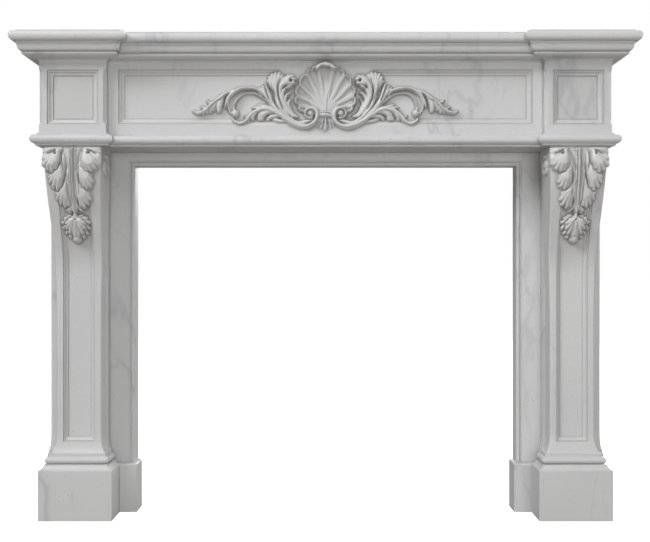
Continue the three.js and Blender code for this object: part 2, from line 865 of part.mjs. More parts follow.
const legLobes = [
  [[[30, -6], [58, -18], [81, -48]], 18, 18],
  [[[32, -8], [46, -34], [56, -76]], 21, 23],
  [[[22, -30], [44, -62], [68, -98]], 15, 17],
  [[[20, -44], [33, -80], [43, -127]], 18, 20],
  [[[14, -80], [30, -110], [51, -144]], 13, 14],
  [[[12, -92], [20, -128], [28, -173]], 15, 17],
];
const legStems = [
  [[[4, -194], [22, -199], [41, -216]], 13, 11],
  [[[3, -198], [18, -222], [33, -248]], 14, 12],
  [[[2, -200], [9, -232], [16, -265]], 12, 13],
  [[[9, -4], [5, -90], [2, -180]], 6, 19],
  [[[0, -4], [0, -100], [0, -192]], 7, 22],
  [[[0, -196], [0, -236], [0, -276]], 13, 15],
];
const lowest = Math.min(...[...legLobes, ...legStems].flatMap(([spine]) => spine.map(([, z]) => z)));
const legLeafUnit = legLeafLength / -lowest;

const sideVolute = {
  behindFront: 47,
  drop: 55,
  radius: 34,
  eyeRadius: 7,
  band: 6,
  endBand: 3.6,
  height: 5,
  turn: 470, // degrees
  steps: 15,
};

function legCarving() {
  const forms = [];
  const unit = legLeafUnit;
  const face = (x, z) => legFrontY(z);
  for (const [rows, section] of [[legLobes, lobeSection], [legStems, ridgedSection]]) {
    for (const [spine, halfWidth, height] of rows) {
      for (const side of onBothSides(spine)) {
        const placed = spine.map(([x, z]) => [side * x * unit, jambTopZ + z * unit]);
        forms.push(petal(placed, section, halfWidth * unit, height * unit, face));
      }
    }
  }
  for (const side of [1, -1]) forms.push(sideScroll(side));
  return forms;
}

// Scroll on the flank of the leg's head
function sideScroll(side) {
  const centreY = legFrontY(jambTopZ) + sideVolute.behindFront * legLeafUnit;
  const centreZ = jambTopZ - sideVolute.drop * legLeafUnit;
  const rings = [];
  for (let i = 0; i <= sideVolute.steps; i++) {
    const share = i / sideVolute.steps;
    const angle = THREE.MathUtils.degToRad(sideVolute.turn * share);
    const radius = mix(sideVolute.radius, sideVolute.eyeRadius, share) * legLeafUnit;
    const band = mix(sideVolute.band, sideVolute.endBand, share) * legLeafUnit;
    const point = (across, rise) => {
      const r = radius + across * band;
      const y = centreY + r * Math.sin(angle);
      const z = centreZ + r * Math.cos(angle);
      return new THREE.Vector3(side * (legHalfWidth(z) + rise), y, z);
    };
    const height = sideVolute.height * legLeafUnit;
    rings.push([point(-1, -carvingBury), point(-0.5, height), point(0.5, height), point(1, -carvingBury)]);
  }
  return loft(rings, { fanCaps: true });
}

// Stones and their finish

const group = new THREE.Group();

function addStone(name, geometry, x = 0) {
  const marble = new THREE.MeshStandardMaterial({
    color: 0xcfcecb,
    roughness: 0.45,
    metalness: 0,
    flatShading: true,
  });
  const mesh = new THREE.Mesh(geometry, marble);
  mesh.name = name;
  mesh.position.x = x;
  group.add(mesh);
}

addStone('shelf', shelf());
addStone('frieze', withCarving(friezeSlab(), friezeCarving()));
addStone('architrave', architrave());
addStone('header_slip', headerSlip());

const leg = withCuts(withCarving(legBody(), legCarving()), [underArchitrave()]);
for (const [sideName, side] of [['left', -1], ['right', 1]]) {
  const placed = (geometry) => (side > 0 ? geometry : mirrored(geometry));
  addStone(`${sideName}_corner_block`, placed(cornerBlock()));
  addStone(`${sideName}_leg`, leg.clone(), side * legCentreX);
  addStone(`${sideName}_jamb`, placed(jamb()));
  addStone(`${sideName}_slip`, placed(slip()));
  addStone(`${sideName}_plinth`, placed(plinth()));
  addStone(`${sideName}_slip_plinth`, placed(slipPlinth()));
}

export default group;
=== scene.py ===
# A marble fireplace mantel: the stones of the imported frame, dressed with fine mouldings, carving and finish.
# Stone sizes are in millimetres, as a mason has them. Only buildStone and the camera turn them into metres.

import math

import bpy
import numpy as np
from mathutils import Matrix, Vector


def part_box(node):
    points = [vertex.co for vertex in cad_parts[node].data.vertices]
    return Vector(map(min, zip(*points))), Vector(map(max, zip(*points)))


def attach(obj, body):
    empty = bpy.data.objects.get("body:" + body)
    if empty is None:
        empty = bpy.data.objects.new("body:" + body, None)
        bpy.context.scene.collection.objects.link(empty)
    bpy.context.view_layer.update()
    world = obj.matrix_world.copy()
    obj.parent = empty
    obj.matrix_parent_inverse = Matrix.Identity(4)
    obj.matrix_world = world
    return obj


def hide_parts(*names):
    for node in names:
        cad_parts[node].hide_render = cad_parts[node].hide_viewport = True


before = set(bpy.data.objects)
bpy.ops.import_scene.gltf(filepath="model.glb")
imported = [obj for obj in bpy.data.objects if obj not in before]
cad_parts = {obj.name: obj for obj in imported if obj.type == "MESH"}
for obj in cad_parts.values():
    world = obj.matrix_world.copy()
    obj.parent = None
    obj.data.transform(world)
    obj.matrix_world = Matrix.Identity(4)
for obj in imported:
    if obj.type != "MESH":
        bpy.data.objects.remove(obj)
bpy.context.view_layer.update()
print("frame loaded:", len(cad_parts), "stones")

mm = 0.001


def placeOf(node):  # the sides of a stone of the frame, in mm
    low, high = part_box(node)
    names = ("left", "front", "bottom", "right", "back", "top")
    return dict(zip(names, np.concatenate([low, high]) / mm))


# Camera, floor and light

camera = {
    "distance": 2.864,  # metres in front of the origin
    "height": 0.705,
    "lens": 55.385,
    "sensor": 36.0,
    "photoWidth": 650,
    "centreColumn": 325.5,  # where the mantel's middle is in the photo
}

light = {
    "keyPlace": (-6.0, -4.5, 6.0),
    "keySize": 3.0,
    "keyPower": 420,
    "keyColour": (0.985, 0.985, 1.0),
    "topPlace": (-0.4, -2.3, 4.8),
    "topSize": 4.6,
    "topPower": 114,
    "fillPlace": (0.8, -5.6, 0.35),
    "fillSize": 3.0,
    "fillPower": 178,
    "sidePlace": (6.2, 2.6, 2.6),  # these two only light the sides and the back
    "sideSize": 3.6,
    "sidePower": 170,
    "backPlace": (1.6, 6.2, 3.4),
    "backSize": 4.0,
    "backPower": 300,
    "sky": 0.13,  # the pale surround, as the stone sees it
    "skyColour": (1.0, 0.985, 0.95, 1),
    "background": 1.0,
    "floorColour": (0.31, 0.3, 0.28, 1),
    "floorGlow": 1.05,  # seen by the camera as pure white, as the photo's floor is
    "floorRoughness": 0.9,
    "floorSpecular": 0.1,
    "floorReach": 60,
}


def makeCamera():
    data = bpy.data.cameras.new("camera")
    data.lens = camera["lens"]
    data.sensor_width = camera["sensor"]
    data.shift_x = (camera["photoWidth"] / 2 - camera["centreColumn"]) / camera["photoWidth"]
    holder = bpy.data.objects.new("camera", data)
    holder.location = (0, -camera["distance"], camera["height"])
    holder.rotation_euler = (math.pi / 2, 0, 0)
    bpy.context.collection.objects.link(holder)
    bpy.context.scene.camera = holder


def areaLight(name, place, size, power, colour=(1, 1, 1)):
    data = bpy.data.lights.new(name, "AREA")
    data.size = size
    data.color = colour
    data.energy = power
    lamp = bpy.data.objects.new(name, data)
    lamp.location = place
    aim = Vector((0, 0, camera["height"])) - Vector(place)
    lamp.rotation_euler = aim.to_track_quat("-Z", "Y").to_euler()
    bpy.context.collection.objects.link(lamp)


# Shader maths: a Wire is one socket, and a Bench is the node tree that it is on


class Wire:
    def __init__(self, bench, socket):
        self.bench = bench
        self.socket = socket

    def __add__(self, other):
        return self.bench.sum("ADD", self, other)

    __radd__ = __add__

    def __mul__(self, other):
        return self.bench.sum("MULTIPLY", self, other)

    __rmul__ = __mul__

    def __sub__(self, other):
        return self.bench.sum("SUBTRACT", self, other)

    def __rsub__(self, other):
        return self.bench.sum("SUBTRACT", other, self)

    def __pow__(self, other):
        return self.bench.sum("POWER", self, other)

    def __abs__(self):
        return self.bench.sum("ABSOLUTE", self, 0)

    def clipped(self):
        return self.bench.node("ShaderNodeClamp", {}, {"Value": self})


class Bench:
    def __init__(self, tree):
        self.tree = tree

    def node(self, kind, settings, inputs, output=0):
        made = self.tree.nodes.new(kind)
        for name, value in settings.items():
            setattr(made, name, value)
        for name, value in inputs.items():
            if isinstance(value, Wire):
                self.tree.links.new(value.socket, made.inputs[name])
            else:
                made.inputs[name].default_value = value
        return Wire(self, made.outputs[output])

    def sum(self, operation, first, second):
        return self.node("ShaderNodeMath", {"operation": operation}, {0: first, 1: second})

    def vector(self, operation, first, second):
        return self.node("ShaderNodeVectorMath", {"operation": operation}, {0: first, 1: second})

    def mixed(self, share, first, second):
        return self.node("ShaderNodeMix", {"data_type": "RGBA"}, {0: share, 6: first, 7: second}, 2)

    def noise(self, place, scale, detail, output=0):
        inputs = {"Vector": place, "Scale": scale, "Detail": detail, "Roughness": 0.55}
        return self.node("ShaderNodeTexNoise", {}, inputs, output)


def makeWorld():
    world = bpy.data.worlds.new("studio")
    bpy.context.scene.world = world
    world.use_nodes = True
    bench = Bench(world.node_tree)
    background = world.node_tree.nodes["Background"]
    seen = bench.node("ShaderNodeLightPath", {}, {})
    strength = seen * (light["background"] - light["sky"]) + light["sky"]
    world.node_tree.links.new(strength.socket, background.inputs["Strength"])
    colour = bench.mixed(seen, light["skyColour"], (1, 1, 1, 1))
    world.node_tree.links.new(colour.socket, background.inputs["Color"])


def makeFloor():
    reach = light["floorReach"]
    mesh = bpy.data.meshes.new("floor")
    corners = [(-reach, -reach, 0), (reach, -reach, 0), (reach, reach, 0), (-reach, reach, 0)]
    mesh.from_pydata(corners, [], [(0, 1, 2, 3)])
    floor = bpy.data.objects.new("floor", mesh)
    bpy.context.collection.objects.link(floor)
    paint = bpy.data.materials.new("pale floor")
    paint.use_nodes = True
    bench = Bench(paint.node_tree)
    plain = paint.node_tree.nodes["Principled BSDF"]
    glowing = paint.node_tree.nodes.new("ShaderNodeBsdfPrincipled")
    for shader in (plain, glowing):
        shader.inputs["Base Color"].default_value = light["floorColour"]
        shader.inputs["Roughness"].default_value = light["floorRoughness"]
        shader.inputs["Specular IOR Level"].default_value = light["floorSpecular"]
    glowing.inputs["Emission Color"].default_value = (1, 1, 1, 1)
    glowing.inputs["Emission Strength"].default_value = light["floorGlow"]
    seen = bench.node("ShaderNodeLightPath", {}, {})
    both = bench.node("ShaderNodeMixShader", {}, {0: seen, 1: Wire(bench, plain.outputs[0])})
    paint.node_tree.links.new(glowing.outputs[0], both.socket.node.inputs[2])
    paint.node_tree.links.new(both.socket, paint.node_tree.nodes["Material Output"].inputs["Surface"])
    mesh.materials.append(paint)


makeCamera()
makeFloor()
makeWorld()
areaLight("key", light["keyPlace"], light["keySize"], light["keyPower"], light["keyColour"])
areaLight("top", light["topPlace"], light["topSize"], light["topPower"])
areaLight("fill", light["fillPlace"], light["fillSize"], light["fillPower"])
areaLight("side", light["sidePlace"], light["sideSize"], light["sidePower"])
areaLight("back", light["backPlace"], light["backSize"], light["backPower"])
bpy.context.scene.view_settings.view_transform = "Standard"
print("studio ready")


# Marble. Each stone has its own place in the block, so no two have the same veins.

marbleLook = {
    "white": (0.57, 0.57, 0.572, 1),
    "cloud": (0.484, 0.488, 0.499, 1),
    "vein": (0.25, 0.26, 0.285, 1),
    # painted shade with some real dirt: the dark colour laid into hollows, creases and quirks
    "shadeAndSoil": (0.17, 0.16, 0.14, 1),
    "crestHighlight": (0.65, 0.65, 0.646, 1),  # painted highlight: a lighter colour on the high crests of the carving
    "cloudShare": 0.55,
    "veinShare": 0.3,
    "haloShare": 0.11,
    "fineVeinShare": 0.26,
    "shadeAndSoilShare": 0.5,
    "crestHighlightShare": 0.6,
    "pitShare": 0.6,
    "grainShare": 0.5,
    "bedding": (1, 1, 0.4),  # veins run longer up the block
    "tilt": 0.3,
    "driftScale": 1.7,
    "drift": 0.4,
    "cloudScale": 4.5,
    "cloudFrom": (0.42, 3.4),  # level from which a field shows, and how steeply
    "patchScale": 1.6,
    "patchFrom": (0.32, 2.6),
    "veinScale": 2.6,
    "veinThinness": 80,
    "haloThinness": 17,
    "veinPlaceScale": 4.2,
    "veinPlaceFrom": (0.44, 6),
    "fineVeinScale": 7,
    "fineVeinLevel": 0.47,
    "fineVeinThinness": 75,
    "fineVeinPlaceScale": 5.5,
    "fineVeinPlaceFrom": (0.5, 6),
    "grainScale": 420,
    "grainDark": 0.06,
    "dressingScale": 55,
    "pitScale": 70,
    "pitSize": 0.13,
    "pitEdge": 22,
    "pitPlaceScale": 14,
    "pitPlaceFrom": (0.56, 9),
    "shadeAndSoilPatchy": 0.9,
    "shadeAndSoilLeast": 0.55,
    "roughness": 0.42,
    "roughnessDrift": 0.16,
    "shadeAndSoilRoughness": 0.3,
    "pitRoughness": 0.2,
    "grainBump": 0.05,
    "dressingBump": 0.12,
    "pitBump": 0.5,
    "bumpStrength": 0.35,
    "bumpDistance": 0.0015,
    "indexOfRefraction": 1.5,
}


def shownFrom(field, level, steepness):  # 0 below the level, then rising to 1
    return ((field - level) * steepness).clipped()


def marble(name, place, turn):
    material = bpy.data.materials.new("marble " + name)
    material.use_nodes = True
    bench = Bench(material.node_tree)
    shader = material.node_tree.nodes["Principled BSDF"]
    look = marbleLook

    stone = bench.node("ShaderNodeTexCoord", {}, {}, 3)
    turned = (0, turn, look["tilt"])
    mapping = {"Vector": stone, "Location": place, "Rotation": turned, "Scale": look["bedding"]}
    block = bench.node("ShaderNodeMapping", {}, mapping)
    drift = bench.vector("SCALE", bench.noise(block, look["driftScale"], 3, 1), (0, 0, 0))
    drift.socket.node.inputs["Scale"].default_value = look["drift"]
    warped = bench.vector("ADD", block, drift)

    clouds = bench.noise(warped, look["cloudScale"], 5)
    patches = bench.noise(warped, look["patchScale"], 2)
    cloudMask = shownFrom(clouds, *look["cloudFrom"]) * shownFrom(patches, *look["patchFrom"])
    veinField = abs(bench.noise(warped, look["veinScale"], 5) - 0.5)
    veins = (1 - veinField * look["veinThinness"]).clipped()
    halo = (1 - veinField * look["haloThinness"]).clipped() ** 2
    veinPlaces = shownFrom(bench.noise(block, look["veinPlaceScale"], 3), *look["veinPlaceFrom"])
    fineVeinField = abs(bench.noise(warped, look["fineVeinScale"], 6) - look["fineVeinLevel"])
    fineVeins = (1 - fineVeinField * look["fineVeinThinness"]).clipped()
    fineVeinPlaces = shownFrom(bench.noise(block, look["fineVeinPlaceScale"], 2), *look["fineVeinPlaceFrom"])

    grain = bench.noise(stone, look["grainScale"], 2)
    dressing = bench.noise(stone, look["dressingScale"], 4)
    cells = {"Vector": stone, "Scale": look["pitScale"]}
    pitCell = bench.node("ShaderNodeTexVoronoi", {"feature": "F1"}, cells)
    pitPlaces = shownFrom(bench.noise(stone, look["pitPlaceScale"], 2), *look["pitPlaceFrom"])
    pitPlaces = (pitPlaces + veins * veinPlaces).clipped()
    pits = ((look["pitSize"] - pitCell) * look["pitEdge"]).clipped() * pitPlaces

    # the hollow attribute holds painted shade with some dirt in hollows (above 0) and a painted highlight on
    # crests (below 0)
    hollow = bench.node("ShaderNodeAttribute", {"attribute_name": "hollow"}, {}, 2)
    shadeAndSoil = (hollow * (dressing * look["shadeAndSoilPatchy"] + look["shadeAndSoilLeast"])).clipped()
    crestHighlight = (hollow * (0 - look["crestHighlightShare"])).clipped()
    speckle = ((grain - 0.5) * look["grainShare"] + look["grainDark"]).clipped()

    colour = bench.mixed(cloudMask * look["cloudShare"], look["white"], look["cloud"])
    colour = bench.mixed(halo * veinPlaces * look["haloShare"], colour, look["vein"])
    colour = bench.mixed(veins * veinPlaces * look["veinShare"], colour, look["vein"])
    colour = bench.mixed(fineVeins * fineVeinPlaces * look["fineVeinShare"], colour, look["vein"])
    colour = bench.mixed(speckle, colour, look["vein"])
    colour = bench.mixed(pits * look["pitShare"], colour, look["shadeAndSoil"])
    # painted highlight on the crests, then painted shade with some dirt in the hollows
    colour = bench.mixed(crestHighlight, colour, look["crestHighlight"])
    colour = bench.mixed(shadeAndSoil * look["shadeAndSoilShare"], colour, look["shadeAndSoil"])

    height = grain * look["grainBump"] + dressing * look["dressingBump"] - pits * look["pitBump"]
    relief = {"Strength": look["bumpStrength"], "Distance": look["bumpDistance"], "Height": height}
    bump = bench.node("ShaderNodeBump", {}, relief)
    rough = look["roughness"] + (dressing - 0.5) * look["roughnessDrift"]
    rough = rough + shadeAndSoil * look["shadeAndSoilRoughness"] + pits * look["pitRoughness"]

    links = material.node_tree.links
    links.new(colour.socket, shader.inputs["Base Color"])
    links.new(rough.socket, shader.inputs["Roughness"])
    links.new(bump.socket, shader.inputs["Normal"])
    shader.inputs["IOR"].default_value = look["indexOfRefraction"]
    return material


# Stones. A stone is skinned over a row of rings, each with the same number of points.

arrisWear = {"width": 0.9, "segments": 2, "angle": 32}  # how far the sharp arrises are rubbed down
blockCut = {"seed": 7, "reach": 9, "turn": (0.45, 0.95)}  # where in the block of marble a stone is cut from
stoneCount = 0


def buildStone(name, rings, hubCaps=False, hollow=None, softArris=True):
    global stoneCount
    rings = np.asarray(rings, float)
    rows, columns = rings.shape[:2]
    points = rings.reshape(-1, 3)
    row, column = np.meshgrid(np.arange(rows - 1), np.arange(columns), indexing="ij")
    after = (column + 1) % columns
    below, above = row * columns, (row + 1) * columns
    quads = np.stack([below + column, below + after, above + after, above + column], -1)
    quads = quads.reshape(-1, 4).tolist()
    first = list(range(columns))
    last = [(rows - 1) * columns + i for i in first]
    if hubCaps:
        hubs = [(rings[0].min(0) + rings[0].max(0)) / 2, (rings[-1].min(0) + rings[-1].max(0)) / 2]
        points = np.vstack([points, hubs])
        lowHub, highHub = rows * columns, rows * columns + 1
        caps = [(lowHub, first[(i + 1) % columns], first[i]) for i in range(columns)]
        caps += [(highHub, last[i], last[(i + 1) % columns]) for i in range(columns)]
    else:
        caps = [first[::-1], last]
    mesh = bpy.data.meshes.new(name)
    mesh.from_pydata((points * mm).tolist(), [], quads + caps)
    mesh.polygons.foreach_set("use_smooth", [True] * len(quads) + [False] * len(caps))
    if hollow is not None:
        attribute = mesh.attributes.new("hollow", "FLOAT", "POINT")
        values = np.zeros(len(points), np.float32)
        values[: rows * columns] = np.asarray(hollow, np.float32).ravel()
        attribute.data.foreach_set("value", values)
    mesh.validate()
    stone = bpy.data.objects.new(name + "_stone", mesh)
    bpy.context.collection.objects.link(stone)
    if softArris:
        mesh.set_sharp_from_angle(angle=math.radians(arrisWear["angle"]))
        rub = stone.modifiers.new("rubbed arrises", "BEVEL")
        rub.width = arrisWear["width"] * mm
        rub.segments = arrisWear["segments"]
        rub.limit_method = "ANGLE"
        rub.angle_limit = math.radians(arrisWear["angle"])
        rub.harden_normals = True
    spin = np.random.default_rng(blockCut["seed"] + stoneCount)
    stoneCount += 1
    place = tuple(spin.uniform(-blockCut["reach"], blockCut["reach"], 3))
    mesh.materials.append(marble(name, place, spin.uniform(*blockCut["turn"])))
    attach(stone, "root")
    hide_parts(name)
    print("stone", name, sum(len(face.vertices) - 2 for face in mesh.polygons), "triangles")
    return stone


def moulded(plan, profile):  # plan gives the corners for any reach of the moulding
    return [[(x, y, z) for x, y in plan(reach)] for reach, z in profile]


def mirrorRings(rings):
    flipped = np.array(rings, float)[:, ::-1]
    flipped[..., 0] *= -1
    return flipped


def arc(reach, z, reachRadius, heightRadius, fromAngle, toAngle, steps):
    angles = np.radians(np.linspace(fromAngle, toAngle, steps + 1))
    return [(reach + reachRadius * math.cos(a), z + heightRadius * math.sin(a)) for a in angles]


def smoothStep(low, high, value):
    share = np.clip((value - low) / (high - low), 0, 1)
    return share * share * (3 - 2 * share)


# Places that the stones share

headLook = {
    "ovoloReach": 38,
    "ovoloHeight": 15,
    "ovoloRoot": 7,
    "ovoloCrown": 0.3,  # share of the ovolo's height above its widest line
    "ovoloFrom": -86,
    "ovoloSteps": 18,
    "neckReach": 5,
    "neckHeight": 8,
    "neckCurve": 0.7,
    "neckSteps": 6,
    "topFillet": 3,
}
joint = 0.3
hairline = 0.2  # keeps two lines of a moulding apart
roundMiddle = 0.29  # where the middle of a rounded arris lies, as a share of its size
flatAngle = 35  # degrees between faces, from which an edge of a plain stone is sharp

block = placeOf("right_corner_block")
friezeStone = placeOf("frieze")
shelfStone = placeOf("shelf")
architraveStone = placeOf("architrave")
legStone = placeOf("right_leg")
jambStone = placeOf("right_jamb")
plinthStone = placeOf("right_plinth")
slipStone = placeOf("right_slip")
slipPlinthStone = placeOf("right_slip_plinth")
headerStone = placeOf("header_slip")

wall = block["back"]
blockInner = block["left"] + headLook["ovoloReach"]
blockOuter = block["right"] - headLook["ovoloReach"]
blockFace = block["front"] + headLook["ovoloReach"]
friezeFace = friezeStone["front"] + headLook["ovoloReach"]
legCentre = (blockInner + blockOuter) / 2


def breakfrontPlan(reach):
    outer, inner = blockOuter + reach, blockInner - reach
    blockLine, friezeLine = blockFace - reach, friezeFace - reach
    right = [(inner, friezeLine), (inner, blockLine), (outer, blockLine), (outer, wall)]
    return [(-x, y) for x, y in right[::-1]] + right


# Shelf

shelfLook = {
    "topStepReach": 50,
    "topStepHeight": 4,
    "noseRoot": 56,
    "noseHeight": 27,
    "noseSteps": 28,
    "filletReach": 50,
    "filletHeight": 6,
    "roundTop": 48,
    "roundFoot": 39,
    "roundSteps": 10,
}


def makeShelf():
    look = shelfLook
    tip = shelfStone["right"] - blockOuter
    bottom, top = shelfStone["bottom"], shelfStone["top"]
    noseTop = top - look["topStepHeight"]
    noseBottom = noseTop - look["noseHeight"]
    roundTop = noseBottom - look["filletHeight"]
    under = arc(
        look["roundFoot"],
        roundTop,
        look["roundTop"] - look["roundFoot"],
        roundTop - bottom,
        -90,
        0,
        look["roundSteps"],
    )
    nose = arc(
        look["noseRoot"],
        (noseTop + noseBottom) / 2,
        tip - look["noseRoot"],
        look["noseHeight"] / 2,
        -90,
        90,
        look["noseSteps"],
    )
    profile = under + [(look["filletReach"], roundTop), (look["filletReach"], noseBottom)] + nose
    profile += [(look["topStepReach"], noseTop), (look["topStepReach"], top)]
    buildStone("shelf", moulded(breakfrontPlan, profile))


# Architrave

architraveLook = {"topFillet": 5, "footFillet": 9, "footSetBack": 1, "filletHeight": 5, "torusSteps": 28}


def makeArchitrave():
    look = architraveLook
    tip = architraveStone["right"] - blockOuter
    bottom, top = architraveStone["bottom"], architraveStone["top"]
    torusBottom, torusTop = bottom + look["filletHeight"], top - look["filletHeight"]
    foot = look["footFillet"] - look["footSetBack"]
    torus = arc(
        look["footFillet"],
        (torusBottom + torusTop) / 2,
        tip - look["footFillet"],
        (torusTop - torusBottom) / 2,
        -90,
        90,
        look["torusSteps"],
    )
    profile = [(foot, bottom), (foot, torusBottom)] + torus
    profile += [(look["topFillet"], torusTop), (look["topFillet"], top)]
    buildStone("architrave", moulded(breakfrontPlan, profile))


# Sunk panels. The moulding is a row of inset from the panel's edge and depth below the face.

panelLook = {
    "insets": [0, 0.3, 0.6, 0.9, 1.3, 3.8, 4.3, 5.2, 6.2, 7.4, 8.6, 10, 11.4, 11.8, 12.2, 13.2, 13.6, 14],
    "depths": [0, 0.3, 1.6, 3.2, 3.7, 2.9, 3.2, 5.2, 6.9, 8.3, 9.2, 9.7, 9.8, 10.3, 12.6, 13.2, 12.8, 12],
    "wideScale": 1.25,  # the frieze and the corner blocks have a wider moulding than the legs
    "shadeAndSoilLines": [(1.1, 0.9, 0.8), (12.9, 0.9, 1.0)],  # inset, half width and depth of the painted shade and dirt in the quirks
    "shadeAndSoilReach": 2,  # outside the panel's edge
}


def panelDepth(inset):
    return np.interp(inset, panelLook["insets"], panelLook["depths"])


# painted shade with some dirt in the quirks of a panel's moulding
def panelShadeAndSoil(inset):
    shadeAndSoil = 0
    for place, half, share in panelLook["shadeAndSoilLines"]:
        shadeAndSoil = shadeAndSoil + share * np.exp(-(((inset - place) / half) ** 2))
    return shadeAndSoil


def panelLines(low, high, scale):
    insets = np.array(panelLook["insets"]) * scale
    return np.concatenate([low + insets, high - insets])


def withFineLines(coarse, lines, gap):  # places that keep every fine line and drop the coarse ones beside it
    lines = np.unique(np.round(lines, 3))
    kept = [place for place in coarse if np.min(np.abs(lines - place)) > gap]
    return np.unique(np.concatenate([kept, lines]))


# Ovolo head of the frieze and the corner blocks, as reach and height


def headProfile():
    look = headLook
    bottom, top = friezeStone["bottom"], friezeStone["top"]
    ovoloBottom = top - look["ovoloHeight"]
    neckBottom = ovoloBottom - look["neckHeight"]
    neckCurve = look["neckHeight"] * look["neckCurve"]
    neck = [
        (look["neckReach"] * (1 - math.cos(a)), neckBottom + neckCurve * math.sin(a))
        for a in np.radians(np.linspace(0, 90, look["neckSteps"] + 1))
    ]
    widest = top - look["ovoloCrown"] * look["ovoloHeight"]
    ovolo = arc(
        look["ovoloRoot"],
        widest,
        look["ovoloReach"] - look["ovoloRoot"],
        widest - ovoloBottom,
        look["ovoloFrom"],
        0,
        look["ovoloSteps"],
    )
    profile = [(0, bottom)] + neck + [(look["neckReach"], ovoloBottom - hairline)] + ovolo
    return profile + [(look["ovoloReach"] - look["topFillet"], top)]


# Corner blocks

blockLook = {
    "panelWidth": 143,
    "panelHeight": 153,
    "panelRise": 24,
    "chamfer": 9.5,
    "chamferRise": 21,
    "chamferHeight": 161,
    "chamferStop": 13,
    "stopSteps": 8,
    "arris": 1.0,
    "straighter": 0.21,  # how far the chamfer's middle moves out as it grows from the rounded arris
}


def makeCornerBlocks():
    look = blockLook
    heads = headProfile()
    reaches = [reach for reach, z in heads]
    heights = [z for reach, z in heads]
    bottom = block["bottom"]
    panelLow = bottom + look["panelRise"]
    panelHigh = panelLow + look["panelHeight"]
    chamferLow = bottom + look["chamferRise"]
    chamferHigh = chamferLow + look["chamferHeight"]
    scale = panelLook["wideScale"]
    half = look["panelWidth"] / 2
    stops = np.linspace(0, look["chamferStop"], look["stopSteps"] + 1)
    lines = np.concatenate([panelLines(panelLow, panelHigh, scale), heights])
    rows = withFineLines(np.concatenate([chamferLow + stops, chamferHigh - stops]), lines, hairline)
    xs = np.unique(np.round(panelLines(legCentre - half, legCentre + half, scale), 3))
    rings = []
    tones = []
    for z in rows:
        reach = np.interp(z, heights, reaches)
        run = min(z - chamferLow, chamferHigh - z) / look["chamferStop"]
        full = math.sin(min(1, max(0, run)) * math.pi / 2)
        cut = look["arris"] + (look["chamfer"] - look["arris"]) * full
        middle = (roundMiddle + look["straighter"] * full) * cut
        inner, outer, face = blockInner - reach, blockOuter + reach, blockFace - reach
        inset = np.minimum(half - np.abs(xs - legCentre), min(z - panelLow, panelHigh - z))
        before = [(blockInner, wall), (blockInner, friezeFace), (inner, friezeFace - reach)]
        before += [(inner, face + cut), (inner + middle, face + middle), (inner + cut, face)]
        panel = list(zip(xs, face + panelDepth(inset / scale)))
        after = [(outer - cut, face), (outer - middle, face + middle), (outer, face + cut), (outer, wall)]
        rings.append([(x, y, z) for x, y in before + panel + after])
        # painted shade with some dirt in the panel's quirks
        shadeAndSoil = np.clip(panelShadeAndSoil(inset / scale) * (inset > -panelLook["shadeAndSoilReach"]), 0, 1)
        tones.append(np.concatenate([np.zeros(len(before)), shadeAndSoil, np.zeros(len(after))]))
    tones = np.array(tones)
    for name, made, shade in (
        ("right_corner_block", rings, tones),
        ("left_corner_block", mirrorRings(rings), tones[:, ::-1]),
    ):
        stone = buildStone(name, made, hollow=shade, softArris=False)
        flatFaces(stone, flatAngle)


def flatFaces(stone, angle):  # keeps broad faces flat in the light beside narrow mouldings
    stone.data.set_sharp_from_angle(angle=math.radians(angle))
    weighted = stone.modifiers.new("flat faces", "WEIGHTED_NORMAL")
    weighted.keep_sharp = True


# Foot mouldings of the legs and jambs, as reach and height: torus, fillet and cavetto

footLook = {
    "torusHeight": 20,
    "torusSteps": 20,
    "torusSeat": 0.05,
    "filletHeight": 8.5,
    "filletShare": 17 / 27,
    "cavettoHeight": 55,
    "cavettoSteps": 14,
}


def footProfile(bottom, reach):
    look = footLook
    fillet = reach * look["filletShare"]
    radius = look["torusHeight"] / 2
    filletTop = bottom + look["torusHeight"] + look["filletHeight"]
    cavetto = [
        (fillet * (1 - math.sin(a)), filletTop + look["cavettoHeight"] * (1 - math.cos(a)))
        for a in np.radians(np.linspace(0, 90, look["cavettoSteps"] + 1))[1:]
    ]
    torus = arc(fillet, bottom + radius, reach - fillet, radius, -90, 90, look["torusSteps"])
    torus[-1] = (fillet + look["torusSeat"], torus[-1][1])
    return torus + [(fillet, torus[-1][1] + hairline), (fillet, filletTop)] + cavetto


# Jambs

jambLook = {"footReach": 9}


def makeJambs():
    inner, outer = jambStone["left"] + jambLook["footReach"], jambStone["right"] - jambLook["footReach"]
    front = jambStone["front"] + jambLook["footReach"]
    slipLine = headerStone["front"] - joint

    def plan(reach):
        step = max(reach, footLook["torusSeat"])
        return [
            (inner, wall),
            (inner, slipLine),
            (inner - step, slipLine),
            (inner - step, front - reach),
            (outer + reach, front - reach),
            (outer + reach, wall),
        ]

    profile = footProfile(jambStone["bottom"], jambLook["footReach"]) + [(0, jambStone["top"])]
    rings = moulded(plan, profile)
    flatFaces(buildStone("right_jamb", rings, softArris=False), flatAngle)
    flatFaces(buildStone("left_jamb", mirrorRings(rings), softArris=False), flatAngle)


# Plinths

plinthLook = {
    "weathering": 13,
    "weatheringRise": 12.5,
    "slope": [(0, 0), (0.3, 0.13), (0.55, 0.33), (0.78, 0.62), (1, 1)],  # shares inwards and upwards
    "seatRise": 2.2,
    "bevel": 3,
}


